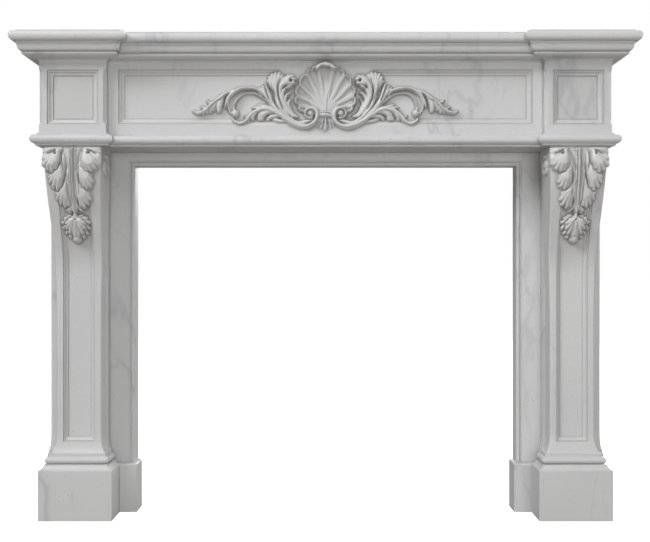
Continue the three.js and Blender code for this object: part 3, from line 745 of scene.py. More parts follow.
def makePlinths():
    look = plinthLook
    left, right, front = plinthStone["left"], plinthStone["right"], plinthStone["front"]
    jambInner = jambStone["left"] + jambLook["footReach"]
    slipPlinthLine = slipPlinthStone["front"] - joint
    arris = plinthStone["top"] - look["weatheringRise"] - look["seatRise"]

    def plan(reach):
        return [
            (left - reach, slipPlinthLine),
            (left - reach, front - reach),
            (right + reach, front - reach),
            (right + reach, wall),
            (jambInner, wall),
            (jambInner, slipPlinthLine),
        ]

    slope = [
        (-look["weathering"] * share, arris + look["weatheringRise"] * rise)
        for share, rise in look["slope"]
    ]
    profile = [(0, 0)] + slope + [(-look["weathering"], plinthStone["top"])]
    rings = moulded(plan, profile)
    buildStone("right_plinth", rings)
    buildStone("left_plinth", mirrorRings(rings))

    inner, outer, slipFront = slipPlinthStone["left"], slipPlinthStone["right"], slipPlinthStone["front"]

    def slipPlan(reach):
        front = slipFront - reach
        return [(inner - reach, front), (outer, front), (outer, wall), (inner - reach, wall)]

    top = slipPlinthStone["top"]
    rings = moulded(slipPlan, [(0, 0), (0, top - look["bevel"]), (-look["bevel"], top)])
    buildStone("right_slip_plinth", rings)
    buildStone("left_slip_plinth", mirrorRings(rings))


# Slips: the frame of the opening, as a section that runs from the opening outwards

slipLook = {
    "thickness": 49,
    "beadWidth": 13,
    "beadReach": 3,
    "beadSteps": 16,
    "quirkWidth": 3.5,
    "quirkDepth": 2.5,
    "quirkSlope": 0.5,
}


def slipSection(outer):
    look = slipLook
    face = wall - look["thickness"]
    half = look["beadWidth"] / 2
    turn = np.radians(np.linspace(180, 0, look["beadSteps"] + 1))
    bead = [(half * (1 + math.cos(a)), face + look["beadReach"] * (1 - 2 * math.sin(a))) for a in turn]
    deep = face + look["quirkDepth"]
    slope = look["quirkSlope"]
    quirkFrom = look["beadWidth"] + slope
    quirkTo = look["beadWidth"] + look["quirkWidth"]
    section = [(0, wall)] + bead + [(quirkFrom, deep), (quirkTo, deep), (quirkTo + slope, face)]
    return section + [(place, face) for place in outer] + [(place, wall) for place in outer[::-1]]


def makeSlips():
    openingSide = slipStone["left"]
    width = slipStone["right"] - openingSide
    openingTop = headerStone["bottom"]
    seen = headerStone["top"] - openingTop
    section = slipSection([seen + joint, width])
    foot = [(openingSide + across, y, slipStone["bottom"]) for across, y in section]
    mitre = [
        (openingSide + across, y, min(openingTop + across - joint, slipStone["top"])) for across, y in section
    ]
    rings = [foot, mitre]
    buildStone("right_slip", rings)
    buildStone("left_slip", mirrorRings(rings))
    section = slipSection([seen])
    ends = [
        [(side * (openingSide + across), y, openingTop + across) for across, y in section] for side in (-1, 1)
    ]
    buildStone("header_slip", ends)


# Carving. A ground is a fine grid of heights in front of the stone's face. Each stroke of the chisel is a
# form along a spine: half widths and heights from its start to its end, and a section from crown to edge.

cell = 0.75  # mm between the heights of a ground
floorLevel = -12  # the sunk panels' floor, to which the forms fall
nothing = -60


def newGround(across, bottom, top):
    us = np.arange(0, across, cell)
    vs = np.arange(bottom, top, cell)
    return {"us": us, "vs": vs, "heights": np.full((len(vs), len(us)), float(nothing))}


def smoothLine(points, perSpan=14):
    points = np.array(points, float)
    padded = np.vstack([2 * points[0] - points[1], points, 2 * points[-1] - points[-2]])
    share = np.linspace(0, 1, perSpan, endpoint=False)[:, None]
    spans = []
    for before, start, end, after in zip(padded, padded[1:], padded[2:], padded[3:]):
        bend = 2 * before - 5 * start + 4 * end - after
        twist = 3 * (start - end) + after - before
        spans.append(0.5 * (2 * start + (end - before) * share + bend * share**2 + twist * share**3))
    return np.vstack(spans + [points[-1:]])


def alongShares(line):
    steps = np.linalg.norm(np.diff(line, axis=0), axis=1)
    run = np.concatenate([[0], np.cumsum(steps)])
    return run / run[-1]


def evenly(values, share):  # a run through values that are evenly spaced along the form
    return np.interp(share, np.linspace(0, 1, len(values)), values)


def rounded(across):
    return np.sqrt(np.clip(1 - across**2, 0, 1))


def domed(across):  # rounder than a lobe and fuller than a half round
    fullness = 0.55
    return rounded(across) ** fullness


def lobed(across):  # a broad crown with a steep edge, so that ribs side by side make one leaf
    edge = 0.8
    drop = 0.17
    crown = 1 - drop * (np.abs(across) / edge) ** 2
    fall = (1 - drop) * rounded(np.clip((np.abs(across) - edge) / (1 - edge), 0, 1))
    return np.where(np.abs(across) < edge, crown, fall)


def hollowed(across):  # a band dished between two rims
    rimFrom, floor, rimHeight, steepness = 0.76, 0.26, 0.86, 2.4
    beyond = (np.abs(across) - (1 + rimFrom) / 2) / ((1 - rimFrom) / 2)
    dish = floor + (rimHeight - floor) * np.clip(np.abs(across) / rimFrom, 0, 1) ** steepness
    rim = rimHeight * rounded(np.clip(beyond, 0, 1)) + (1 - rimHeight) * rounded(beyond)
    return np.where(np.abs(across) > rimFrom, rim, dish)


def near(ground, line, reach):  # the part of the ground round a line, with each place's share and distance
    low, high = line.min(0) - reach, line.max(0) + reach
    us, vs = ground["us"], ground["vs"]
    columns = slice(*np.searchsorted(us, (low[0], high[0])))
    rows = slice(*np.searchsorted(vs, (low[1], high[1])))
    places = np.stack(np.meshgrid(us[columns], vs[rows]), -1)
    if places.size == 0:
        return None
    away = places[:, :, None, :] - line
    nearest = np.argmin((away**2).sum(-1), -1)
    offset = np.take_along_axis(away, nearest[..., None, None], 2)[:, :, 0]
    tangents = np.gradient(line, axis=0)
    tangents /= np.linalg.norm(tangents, axis=1)[:, None]
    tangent = tangents[nearest]
    aside = offset[..., 0] * tangent[..., 1] - offset[..., 1] * tangent[..., 0]
    ahead = (offset * tangent).sum(-1)
    past = np.where((nearest == 0) | (nearest == len(line) - 1), ahead, 0)
    length = np.linalg.norm(np.diff(line, axis=0), axis=1).sum()
    share = np.clip(alongShares(line)[nearest] + (ahead - past) / length, 0, 1)
    return rows, columns, share, np.hypot(aside, past)


def stroke(ground, spine, halfWidths, heights, section=lobed):
    found = near(ground, smoothLine(spine), max(halfWidths) + cell)
    if found is None:
        return
    rows, columns, share, distance = found
    across = distance / evenly(halfWidths, share)
    crown = evenly(heights, share)
    made = np.where(across < 1, floorLevel + (crown - floorLevel) * section(across), nothing)
    part = ground["heights"][rows, columns]
    np.maximum(part, made, out=part)


def groove(ground, spine, halfWidth, depth):  # cuts a line into what is there
    found = near(ground, smoothLine(spine), halfWidth + cell)
    if found is None:
        return
    rows, columns, share, distance = found
    start, run = 0.06, 0.9
    taper = np.sin(math.pi * np.clip(start + run * share, 0, 1)) ** 0.5
    part = ground["heights"][rows, columns]
    cut = np.maximum(part - depth * taper * np.clip(1 - (distance / halfWidth) ** 2, 0, 1), floorLevel)
    part[...] = np.where(part > floorLevel, cut, part)


def broad(across):  # a flatter lobe, whose ribs show only near their tips
    flatter = 0.05
    return np.minimum(lobed(across) + flatter * np.clip(np.abs(across), 0, 1) ** 2, 1)


def moat(ground, root, tips, halfWidths, width, depth):
    # Sinks what lies round a lobe, so that it stands clear. The moat starts some way up from the root.
    slope, growth, rootShare = 0.7, 3, 0.2
    cut = np.zeros_like(ground["heights"])
    for tip in tips:
        found = near(ground, smoothLine([*root, tip]), max(halfWidths) + width)
        if found is None:
            continue
        rows, columns, share, distance = found
        beyond = distance - evenly(halfWidths, share)
        part = cut[rows, columns]
        grown = np.clip(growth * (share - rootShare), 0, 1)
        np.maximum(part, np.clip(1 - beyond / width, 0, 1) ** slope * grown, out=part)
    sunk = np.maximum(ground["heights"] - depth * cut, floorLevel)
    ground["heights"] = np.where(ground["heights"] > floorLevel, sunk, ground["heights"])


def fan(ground, root, tips, halfWidths, heights, arch=0.2, section=lobed):
    # One lobe of a leaf: ribs that leave the root together and spread to the tips. The middle ones are
    # the highest.
    for i, tip in enumerate(tips):
        aside = 2 * i / max(1, len(tips) - 1) - 1
        crown = 1 - arch * aside**2
        stroke(ground, [*root, tip], halfWidths, [height * crown for height in heights], section)


def knob(ground, place, radius, height, squash=1.0):
    us, vs = np.meshgrid(ground["us"], ground["vs"])
    away = np.sqrt((us - place[0]) ** 2 + ((vs - place[1]) / squash) ** 2) / radius
    made = np.where(away < 1, floorLevel + (height - floorLevel) * domed(np.minimum(away, 1)), nothing)
    np.maximum(ground["heights"], made, out=ground["heights"])


def sink(ground, place, radius, level):  # clears a round place down to a level
    us, vs = np.meshgrid(ground["us"], ground["vs"])
    away = np.hypot(us - place[0], vs - place[1]) / radius
    ground["heights"] = np.where(away < 1, np.minimum(ground["heights"], level), ground["heights"])


def drill(ground, place, radius, depth):  # an eye hole
    us, vs = np.meshgrid(ground["us"], ground["vs"])
    away = np.hypot(us - place[0], vs - place[1]) / radius
    sunk = ground["heights"] - depth * np.sqrt(np.clip(1 - away**2, 0, 1))
    ground["heights"] = np.where(away < 1, np.maximum(sunk, floorLevel), ground["heights"])


def boxBlur(heights, size, axis):
    margins = [(size + 1, size) if axis == i else (0, 0) for i in (0, 1)]
    summed = np.cumsum(np.pad(heights, margins, mode="edge"), axis)
    ahead = np.take(summed, range(2 * size + 1, summed.shape[axis]), axis)
    behind = np.take(summed, range(summed.shape[axis] - 2 * size - 1), axis)
    return (ahead - behind) / (2 * size + 1)


def blurred(heights, radius):  # three box blurs along both ways
    size = max(1, int(round(radius)))
    for _ in range(3):
        heights = boxBlur(boxBlur(heights, size, 0), size, 1)
    return heights


def sampled(ground, grid, us, vs):  # heights between the grid's cells
    column = np.clip(us / cell, 0, len(ground["us"]) - 1.001)
    row = np.clip((vs - ground["vs"][0]) / cell, 0, len(ground["vs"]) - 1.001)
    i, j = row.astype(int), column.astype(int)
    down, right = row - i, column - j
    top = grid[i, j] * (1 - right) + grid[i, j + 1] * right
    bottom = grid[i + 1, j] * (1 - right) + grid[i + 1, j + 1] * right
    return top * (1 - down) + bottom * down


# painted shade with some dirt in the carving's hollows, and a painted highlight on its crests
shadeDirtAndHighlight = {
    "fine": 2.6,  # mm round a place that its height is held against
    "wide": 8,
    "fineDepth": 2.4,
    "fineShadeAndDirt": 0.75,
    "wideFrom": 2,
    "wideDepth": 8,
    "wideShadeAndDirt": 0.6,
    "crestFrom": 0.4,
    "crestHeight": 2.6,
    "crest": 0.9,
    "broadCrestFrom": 1,
    "broadCrest": 0.35,
}
formClear = 0.3  # a form that is this far above its panel has its own tone


def upTo(value, full):
    return np.clip(value / full, 0, 1)


def toned(ground):  # painted shade with some dirt in the hollows of a ground, from 0 to 1, and a painted highlight on its crests, down to -1
    heights = np.maximum(ground["heights"], floorLevel)
    fine = blurred(heights, shadeDirtAndHighlight["fine"] / cell)
    wide = blurred(heights, shadeDirtAndHighlight["wide"] / cell)
    # painted shade with some dirt in narrow and in broad hollows
    hollow = shadeDirtAndHighlight["fineShadeAndDirt"] * upTo(fine - heights, shadeDirtAndHighlight["fineDepth"])
    hollow = hollow + shadeDirtAndHighlight["wideShadeAndDirt"] * upTo(wide - heights - shadeDirtAndHighlight["wideFrom"], shadeDirtAndHighlight["wideDepth"])
    # painted highlight on the crests
    crest = shadeDirtAndHighlight["crest"] * upTo(heights - fine - shadeDirtAndHighlight["crestFrom"], shadeDirtAndHighlight["crestHeight"])
    crest = crest + shadeDirtAndHighlight["broadCrest"] * upTo(heights - wide - shadeDirtAndHighlight["broadCrestFrom"], shadeDirtAndHighlight["wideDepth"])
    return np.clip(hollow, 0, 1) - np.clip(crest, 0, 1)


def hang(ground, lobes, taper, rise, section=lobed):
    # A row of lobes. Each has a spine, a half width and a height, and all share one taper and one rise.
    for spine, half, height in lobes:
        stroke(ground, spine, [half * share for share in taper], [height + more for more in rise], section)


# Frieze carving: places are across from the middle of the mantel and up from the tie under the shell

shellLook = {
    "ridges": [10, 26.5, 43, 59.5, 76, 89],  # degrees from upright, at the rim
    "outlineAngles": [0, 14, 20, 30, 40, 52, 62, 70, 79, 85, 93],
    "outlineReach": [142, 134, 131, 124.5, 115.5, 106, 97, 90, 80, 70, 52],
    "splay": 0.17,  # how much the ridges bend outwards from the root
    "topSplay": 0.12,
    "topSplayFade": 12,
    "splayRounds": 8,
    "widestAngle": 112,
    "root": 0.06,
    "topRim": 21,
    "sideRim": 8,
    "rimFall": 1.1,
    "floor": 0,
    "dishPower": 4.2,
    "hollow": 8,
    "hollowRoundness": 0.8,
    "hollowAtRoot": 0.12,
    "hollowFrom": (0.1, 0.7),  # shares of the way from root to rim over which the flutes deepen
    "crest": 3.4,
    "crestPlace": 3,
    "crestCut": 0.8,
    "crestFrom": (0.1, 0.35),
    "middleRib": 3,
    "middleRibWidth": 3.4,
    "middleRibEnd": (0.72, 0.4),
    "scallop": 8.6,
    "scallopRoundness": 0.75,
    "scallopMiddle": 0.7,
    "lip": 6.4,
    "lipAtNotch": 0.6,  # share of the lip's width between two lobes
    "lipRoundness": 0.7,
    "lipHeight": 6,
    "lipSink": 4,
    "topLip": 12.5,
    "topTilt": 11,
    "topCurl": 19,
    "topLobe": 13.2,  # degrees from upright that the curled top lobe covers
    "topAngles": [0, 5, 9, 11.5, 13, 14.5],
    "topReach": [143, 142, 139, 135, 130, 124],
    "rippleAngle": 4.4,
    "ripple": 0.7,
}


def carveShell(ground):
    look = shellLook
    edges = np.array(look["ridges"], float)
    us, vs = np.meshgrid(ground["us"], ground["vs"])
    reach = np.hypot(us, vs) + 1e-6
    seen = np.degrees(np.arctan2(us, vs))
    angle = seen.copy()
    for _ in range(look["splayRounds"]):
        radius = np.interp(angle, look["outlineAngles"], look["outlineReach"])
        share = np.clip((reach / radius - look["root"]) / (1 - look["root"]), 0, 1.1)
        splay = look["splay"] + look["topSplay"] * np.exp(-angle / look["topSplayFade"])
        angle = np.clip(seen / (1 - splay * np.clip(1 - share**2, 0, 1)), 0, look["widestAngle"])
    flute = np.clip(np.searchsorted(edges, angle), 0, len(edges) - 1)
    start = np.where(flute == 0, -edges[0], edges[flute - 1])
    inFlute = np.clip((angle - start) / (edges[flute] - start), 0, 1)
    bulge = np.sin(math.pi * inFlute)
    fluteWidth = np.radians(edges[flute] - start) * reach
    toRidge = np.minimum(inFlute, 1 - inFlute) * fluteWidth

    upright = np.cos(np.radians(np.minimum(angle, 90)))
    rimHeight = look["sideRim"] + (look["topRim"] - look["sideRim"]) * upright ** look["rimFall"]
    twin = np.abs(np.sin(2 * math.pi * inFlute))
    lobe = np.where(flute == 1, twin, bulge)  # the rim has two lobes beside the top one
    outline = radius + look["scallop"] * (lobe ** look["scallopRoundness"] - look["scallopMiddle"])
    run = np.clip(reach / outline, 0, 1)
    dish = look["floor"] + (rimHeight - look["floor"]) * run ** look["dishPower"]
    deepening = look["hollowAtRoot"] + (1 - look["hollowAtRoot"]) * smoothStep(*look["hollowFrom"], run)
    hollow = look["hollow"] * bulge ** look["hollowRoundness"] * deepening
    place, width = look["crestPlace"], look["crestPlace"] / 2
    crest = np.exp(-(((toRidge - place) / width) ** 2)) - look["crestCut"] * np.exp(-((toRidge / width) ** 2))
    made = dish - hollow + look["crest"] * crest * smoothStep(*look["crestFrom"], run)
    middleRib = look["middleRib"] * np.exp(-((us / look["middleRibWidth"]) ** 2))
    made = made + middleRib * smoothStep(*look["middleRibEnd"], run) * (flute == 0)
    lip = look["lip"] * (look["lipAtNotch"] + (1 - look["lipAtNotch"]) * lobe**0.5)
    toRim = outline - reach
    roll = rounded(np.clip((toRim - lip / 2) / (lip / 2), -1, 1)) ** look["lipRoundness"]
    rolled = np.maximum(made, rimHeight - look["lipSink"] + look["lipHeight"] * roll)
    made = np.where((toRim > 0) & (toRim < lip), rolled, made)
    made = np.where((toRim > 0) & (angle < edges[-1]), made, nothing)
    np.maximum(ground["heights"], made, out=ground["heights"])

    ripple = np.cos(seen / look["rippleAngle"] * math.pi)
    across = (np.interp(seen, look["topAngles"], look["topReach"]) - reach) / (look["topLip"] + ripple)
    curl = look["topRim"] - look["topCurl"] + look["topCurl"] * lobed(np.clip(2 * across - 1, -1, 1))
    curl = curl + look["ripple"] * ripple + look["topTilt"] * across
    curled = np.where((across > 0) & (across < 1) & (seen < look["topLobe"]), curl, nothing)
    np.maximum(ground["heights"], curled, out=ground["heights"])


volute = {
    "centre": (43.7, 0.7),
    "inner": 12.2,
    "spread": 8,
    "decay": 85,
    "turn": 300,
    "points": 22,
    "widths": [3.2, 3.5, 3.8, 4.2, 5, 6.2, 7.5],
    "heights": [9, 11, 13, 15, 16, 17, 17],
    "sunk": 18,
    "sunkLevel": -2,
}
voluteEye = {"place": (42.2, 1), "radius": 9.8, "height": 14}
scrollRun = {
    "spine": [
        (23.5, -9), (27, -19), (36, -29), (51, -35.5), (70, -35), (91, -27.5), (112, -15), (134, 4),
        (153, 25),
    ],
    "halfWidths": [7.5, 7.5, 7.6, 8.4, 8.6, 8, 7, 5.6, 4],
    "heights": [17, 16, 15, 14, 13, 12, 11, 9, 8],
}
scrollQuirks = [
    {"spine": [(30, -26), (48, -38), (72, -38), (98, -28), (120, -13)], "halfWidth": 1.7, "depth": 3},
    {"spine": [(44, -29), (62, -31.5), (84, -27), (104, -16)], "halfWidth": 1.5, "depth": 3},
]

channel = {
    "spine": [
        (150, 20), (159, 32), (171, 46), (187, 59), (205, 66), (222, 66.5), (239, 62), (254, 51), (263, 36),
        (266, 21), (263, 8), (255, 0),
    ],
    "halfWidths": [3, 5, 7, 8.6, 9.4, 9.8, 10.4, 11.6, 12.4, 12, 9.6, 7],
    "heights": [7, 8, 9, 9, 9],
    "section": hollowed,
}
channelEdge = {
    "spine": [(180, 39), (194, 51), (210, 57.5), (226, 57.5), (240, 51), (248, 40), (250, 28)],
    "halfWidth": 4.2,
    "depth": 6.5,
}
channelEnd = {"place": (254.6, 1), "radius": 10, "height": 11}
channelEye = {"place": (257, 20), "radius": 3, "depth": 9}

outerLeaf = {
    "root": [(112, -14), (136, 12), (154, 38)],
    "tips": [(169, 84), (177, 77)],
    "halfWidths": [3.4, 5, 6, 6.4, 3.6],
    "heights": [5, 7, 10, 10, 8],
}
notchLeaf = {
    "root": [(130, 4), (150, 26), (168, 50)],
    "tips": [(179, 79), (187, 75)],
    "halfWidths": [3.4, 4.4, 4.8, 4, 2.8],
    "heights": [5, 6, 7, 7, 5],
}
crownLeaf = {
    "root": [(104, -20), (122, 8), (134, 34), (140, 62)],
    "tips": [(161, 92), (159, 102), (151, 110), (141, 113), (130, 114), (122, 108)],
    "halfWidths": [3.4, 4.4, 5, 5.4, 6.4, 5.2],
    "heights": [5, 8, 10, 12, 14, 11],
}
hookLeaf = {
    "root": [(104, -4), (121, 28), (128, 58), (121, 82)],
    "tips": [(103, 83), (89, 86), (87, 97), (93, 105), (104, 106), (114, 101)],
    "halfWidths": [3.6, 5, 6, 6.6, 6.6, 5],
    "heights": [6, 9, 12, 15, 17, 14],
}
innerHooks = [  # from the lowest to the highest
    {
        "spine": [(84, -6), (92, 2), (97, 12), (98.5, 22)],
        "halfWidths": [2.6, 3, 3, 2],
        "heights": [3, 5, 5, 3],
    },
    {
        "spine": [(78, -8), (90, -1), (101, 14), (105, 30), (99, 40)],
        "halfWidths": [3, 4, 4.6, 4.4, 3.2],
        "heights": [4, 5, 6, 7, 5],
    },
    {
        "spine": [(84, -8), (98, 3), (110, 22), (114, 40), (108, 54), (99, 59)],
        "halfWidths": [3.4, 4.4, 5.2, 5, 4.4, 3.4],
        "heights": [5, 7, 9, 10, 9, 7],
    },
    {
        "spine": [(92, -8), (108, 12), (121, 38), (119, 60), (108, 73), (98, 79)],
        "halfWidths": [4, 5, 6, 6, 5, 4],
        "heights": [6, 9, 12, 13, 12, 9],
    },
]
hookEyes = [
    {"place": (97.5, 93.5), "radius": 4.4, "depth": 26},
    {"place": (107, 66), "radius": 4.2, "depth": 26},
    {"place": (103, 47), "radius": 3, "depth": 16},
]
stemSpray = {
    "spines": [
        [(40, -17), (62, -25), (86, -21), (106, -7), (122, 14), (132, 36)],
        [(48, -19), (74, -24), (98, -14), (118, 4), (134, 26)],
        [(60, -26), (86, -27), (110, -14), (130, 6), (146, 26)],
        [(78, -33), (102, -24), (124, -6), (142, 14), (157, 34)],
    ],
    "halfWidths": [3.6, 4.4, 4.6, 4.2, 3.4],
    "heights": [8, 9, 11, 12, 12],
}
leafLines = [
    {"spine": [(158, 36), (164, 56), (172, 78)], "halfWidth": 2.2, "depth": 14},
    {"spine": [(134, 34), (146, 60), (152, 84)], "halfWidth": 1.8, "depth": 9},
    {"spine": [(118, 10), (132, 46), (134, 74), (126, 98)], "halfWidth": 2.2, "depth": 14},
]

lowHanging = {
    "lobes": [
        ([(150, 4), (167, 4), (178, -5), (180, -14)], 7.6, 8),
        ([(158, 6), (178, 3), (187, -7), (188, -15)], 5.4, 6),
        ([(186, 8), (198, 1), (205, -10), (205, -15)], 6.2, 8),
        ([(128, -8), (144, -6), (157, -9), (163, -15)], 6, 5),
        ([(206, 0), (215, -12), (218, -21)], 4, 4),
        ([(118, -22), (134, -19), (146, -15)], 6, 3),
    ],
    "taper": [0.6, 0.9, 1, 0.9],
    "rise": [-2, 0, 0, -4],
}
lowEyes = [
    {"place": (195.5, -11), "radius": 3.2, "depth": 20},
    {"place": (170, -16), "radius": 2.4, "depth": 12},
]
lowLeaf = {
    "root": [(108, -20), (130, -3), (150, 12)],
    "tips": [(178, 23), (190, 25), (204, 18)],
    "halfWidths": [3.6, 5.4, 6, 3.8],
    "heights": [6, 9, 9, 6],
}
lowMain = {
    "spine": [
        (106, -20), (130, -4), (150, 9), (168, 14), (186, 11), (203, 4), (215, -7), (223, -18), (233, -25),
    ],
    "halfWidths": [3.6, 5, 6, 6.4, 5.6, 5, 4.6],
    "heights": [6, 10, 12, 12, 11, 9, 8],
}
lowCurl = {
    "spine": [(223, -18), (233, -25), (246, -26), (256, -20), (260, -14)],
    "halfWidths": [4.6, 5, 4.8, 4, 3],
    "heights": [8, 8, 8, 7, 5],
}
lowTooth = {"spine": [(219, -12), (226, -8), (229, -4)], "halfWidths": [3, 3, 2.4], "heights": [5, 4, 2]}

endHanging = {
    "lobes": [
        ([(288, 50), (296, 36), (300, 20), (300, 9)], 8.4, 8),
        ([(302, 42), (311, 28), (315, 12)], 5.2, 6),
        ([(312, 34), (321, 19), (325, 6)], 5, 6),
        ([(323, 25), (331, 13), (335, 4)], 4.2, 4),
        ([(334, 15), (342, 7), (346, 1)], 3.6, 3),
    ],
    "taper": [0.5, 0.95, 1, 0.85],
    "rise": [-3, 0, 0, -4],
}
endBand = {
    "spine": [
        (178, 52), (186, 61), (198, 68.5), (212, 72), (227, 72.5), (241, 70), (254, 64), (265.5, 55.5),
        (274.5, 43.5), (280, 31), (282.5, 19),
    ],
    "halfWidths": [2.4, 3, 3.6, 3.9, 4.1, 4.4, 4.8, 5, 5, 4.6, 3.4],
    "heights": [7, 9, 11, 12, 12, 12, 11, 10, 10, 8, 5],
}
bandQuirk = {
    "spine": [
        (190, 59), (204, 65.5), (221, 66.5), (238, 64), (251, 57.5), (262, 47.5), (269, 35), (271.5, 23),
    ],
    "halfWidth": 1.9,
    "depth": 5,
}
endMain = {
    "spine": [
        (262, 66), (279, 58), (294, 47), (308, 37), (322, 25), (336, 13), (350, 5), (363, 2.5), (373, 8),
    ],
    "halfWidths": [4, 5, 5.8, 5.6, 5, 4.6, 4, 3.4],
    "heights": [6, 10, 12, 11, 10, 8, 7, 5],
}
endLine = {"spine": [(291, 40), (305, 36), (318, 24), (333, 9)], "halfWidth": 1.6, "depth": 8}
endTeeth = [
    {"spine": [(316, 30), (327, 32), (334, 38)], "halfWidths": [4, 3.6, 2.8], "heights": [5, 5, 3]},
    {"spine": [(337, 14), (346, 17), (351, 21)], "halfWidths": [3.4, 3, 2.4], "heights": [4, 4, 3]},
]

tie = {
    "lobes": [([(-14, -4.8), (14, -4.8)], 7, 15), ([(-14, 3.6), (14, 3.6)], 2.6, 17)],  # body, then bead
    "taper": [1, 1],
    "rise": [-3, 1, 2, 1, -3],
}
tail = {
    "lobes": [
        ([(11, -8), (22, -19), (28, -29)], 4, 5),
        ([(8, -8), (17, -22), (22, -35)], 4.2, 5),
        ([(4, -8), (10, -24), (14, -40)], 4.4, 5),
    ],
    "taper": [0.7, 1, 0.8],
    "rise": [0, 2, -1],
}
tailMiddle = {
    "spine": [(0, -10), (0, -28), (0, -45)],
    "halfWidths": [3.4, 4.6, 5.4, 4],
    "heights": [11, 10, 9],
    "section": rounded,
}


def carveFrieze(ground):  # in the order of the cuts
    carveShell(ground)
    stroke(ground, **channel)
    groove(ground, **channelEdge)
    knob(ground, **channelEnd)
    drill(ground, **channelEye)
    for leafForm in (outerLeaf, notchLeaf, crownLeaf, hookLeaf):
        fan(ground, **leafForm)
    for hook in innerHooks:
        stroke(ground, **hook)
    for eye in hookEyes:
        drill(ground, **eye)
    for spine in stemSpray["spines"]:
        stroke(ground, spine, stemSpray["halfWidths"], stemSpray["heights"])
    for line in leafLines:
        groove(ground, **line)
    hang(ground, **lowHanging)
    for eye in lowEyes:
        drill(ground, **eye)
    fan(ground, **lowLeaf)
    for form in (lowMain, lowCurl, lowTooth):
        stroke(ground, **form)
    hang(ground, **endHanging)
    stroke(ground, **endBand)
    groove(ground, **bandQuirk)
    stroke(ground, **endMain)
    groove(ground, **endLine)
    for tooth in endTeeth:
        stroke(ground, **tooth)
    carveVolute(ground)
    hang(ground, **tie)
    hang(ground, **tail)
    stroke(ground, **tailMiddle)


def carveVolute(ground):
    look = volute
    centre = look["centre"]
    sink(ground, centre, look["sunk"], look["sunkLevel"])
    turns = np.linspace(look["turn"], 0, look["points"])
    radii = look["inner"] + look["spread"] * np.exp(-turns / look["decay"])
    angles = np.radians(180 - turns)
    spiral = list(zip(centre[0] + radii * np.cos(angles), centre[1] + radii * np.sin(angles)))
    stroke(ground, spiral, look["widths"], look["heights"], domed)
    run = [spiral[-1], *scrollRun["spine"]]
    stroke(ground, run, scrollRun["halfWidths"], scrollRun["heights"], domed)
    for quirk in scrollQuirks:
        groove(ground, **quirk)
    knob(ground, **voluteEye)


friezeLook = {
    "tieRise": 58,
    "panelWidth": 1168,
    "panelHeight": 154,
    "panelRise": 29,
    "openTop": 125,  # the panel's moulding stops this far from the middle, above the carving
    "openFoot": 240,
    "openRun": 12,
    "topFade": (-8, 46),  # below the panel's top, where an open part sinks to the floor
    "footFade": (-6, 22),
    "carvingTop": 150,
    "fineReach": 384,
    "fineStep": 1.85,
    "fineRowStep": 1.5,
    "fineHeadroom": 21,
    "rowGap": 0.5,
    "columnGap": 0.25,
    "sideGap": 4,
    "sideEnd": 45,
    "coarseStep": 14,
    "endArris": 0.8,
    "carvedMargin": 2,
    "carvedFoot": 4,
    "sharpFrom": 52,
    "handWander": 1.1,  # how far the two halves differ
    "acrossSeed": 3,
    "upSeed": 8,
}
wanderLook = {"lengths": (95, 61, 38), "turn": (0.5, 1.3), "calm": 1.8}
fullTurn = 6.28


def handWander(xs, zs, seed):  # slow waves by which a carver's hand strays
    look = wanderLook
    chance = np.random.default_rng(seed)
    moved = 0
    for length in look["lengths"]:
        turn, first, second = chance.uniform(*look["turn"]), *chance.uniform(0, fullTurn, 2)
        wave = np.sin(xs / length * fullTurn + first)
        moved = moved + wave * np.cos(zs / (length * turn) * fullTurn + second)
    return moved / look["calm"]


def friezeFloor(xs, zs):  # height of the sunk panel and the painted shade and dirt in its quirks
    look = friezeLook
    low = friezeStone["bottom"] + look["panelRise"]
    high = low + look["panelHeight"]
    scale = panelLook["wideScale"]
    sideInset = (look["panelWidth"] / 2 - np.abs(xs)) / scale
    side = panelDepth(sideInset)
    deep = panelLook["depths"][-1]
    topOpen = smoothStep(look["openTop"] + look["openRun"], look["openTop"], np.abs(xs))
    footOpen = smoothStep(look["openFoot"] + look["openRun"], look["openFoot"], np.abs(xs))
    topInset, footInset = (high - zs) / scale, (zs - low) / scale
    top = panelDepth(topInset) * (1 - topOpen) + topOpen * deep * smoothStep(*look["topFade"], high - zs)
    foot = panelDepth(footInset) * (1 - footOpen) + footOpen * deep * smoothStep(*look["footFade"], zs - low)
    within = np.minimum(sideInset, np.minimum(topInset, footInset)) > -panelLook["shadeAndSoilReach"]
    # painted shade with some dirt in the panel's quirks
    topShadeAndSoil, footShadeAndSoil = panelShadeAndSoil(topInset) * (1 - topOpen), panelShadeAndSoil(footInset) * (1 - footOpen)
    shadeAndSoil = np.where(sideInset < np.minimum(topInset, footInset), panelShadeAndSoil(sideInset), 0)
    shadeAndSoil = np.where((topInset <= sideInset) & (topInset < footInset), topShadeAndSoil, shadeAndSoil)
    shadeAndSoil = np.where((footInset <= sideInset) & (footInset <= topInset), footShadeAndSoil, shadeAndSoil)
    return -np.minimum(side, np.minimum(top, foot)), shadeAndSoil * within


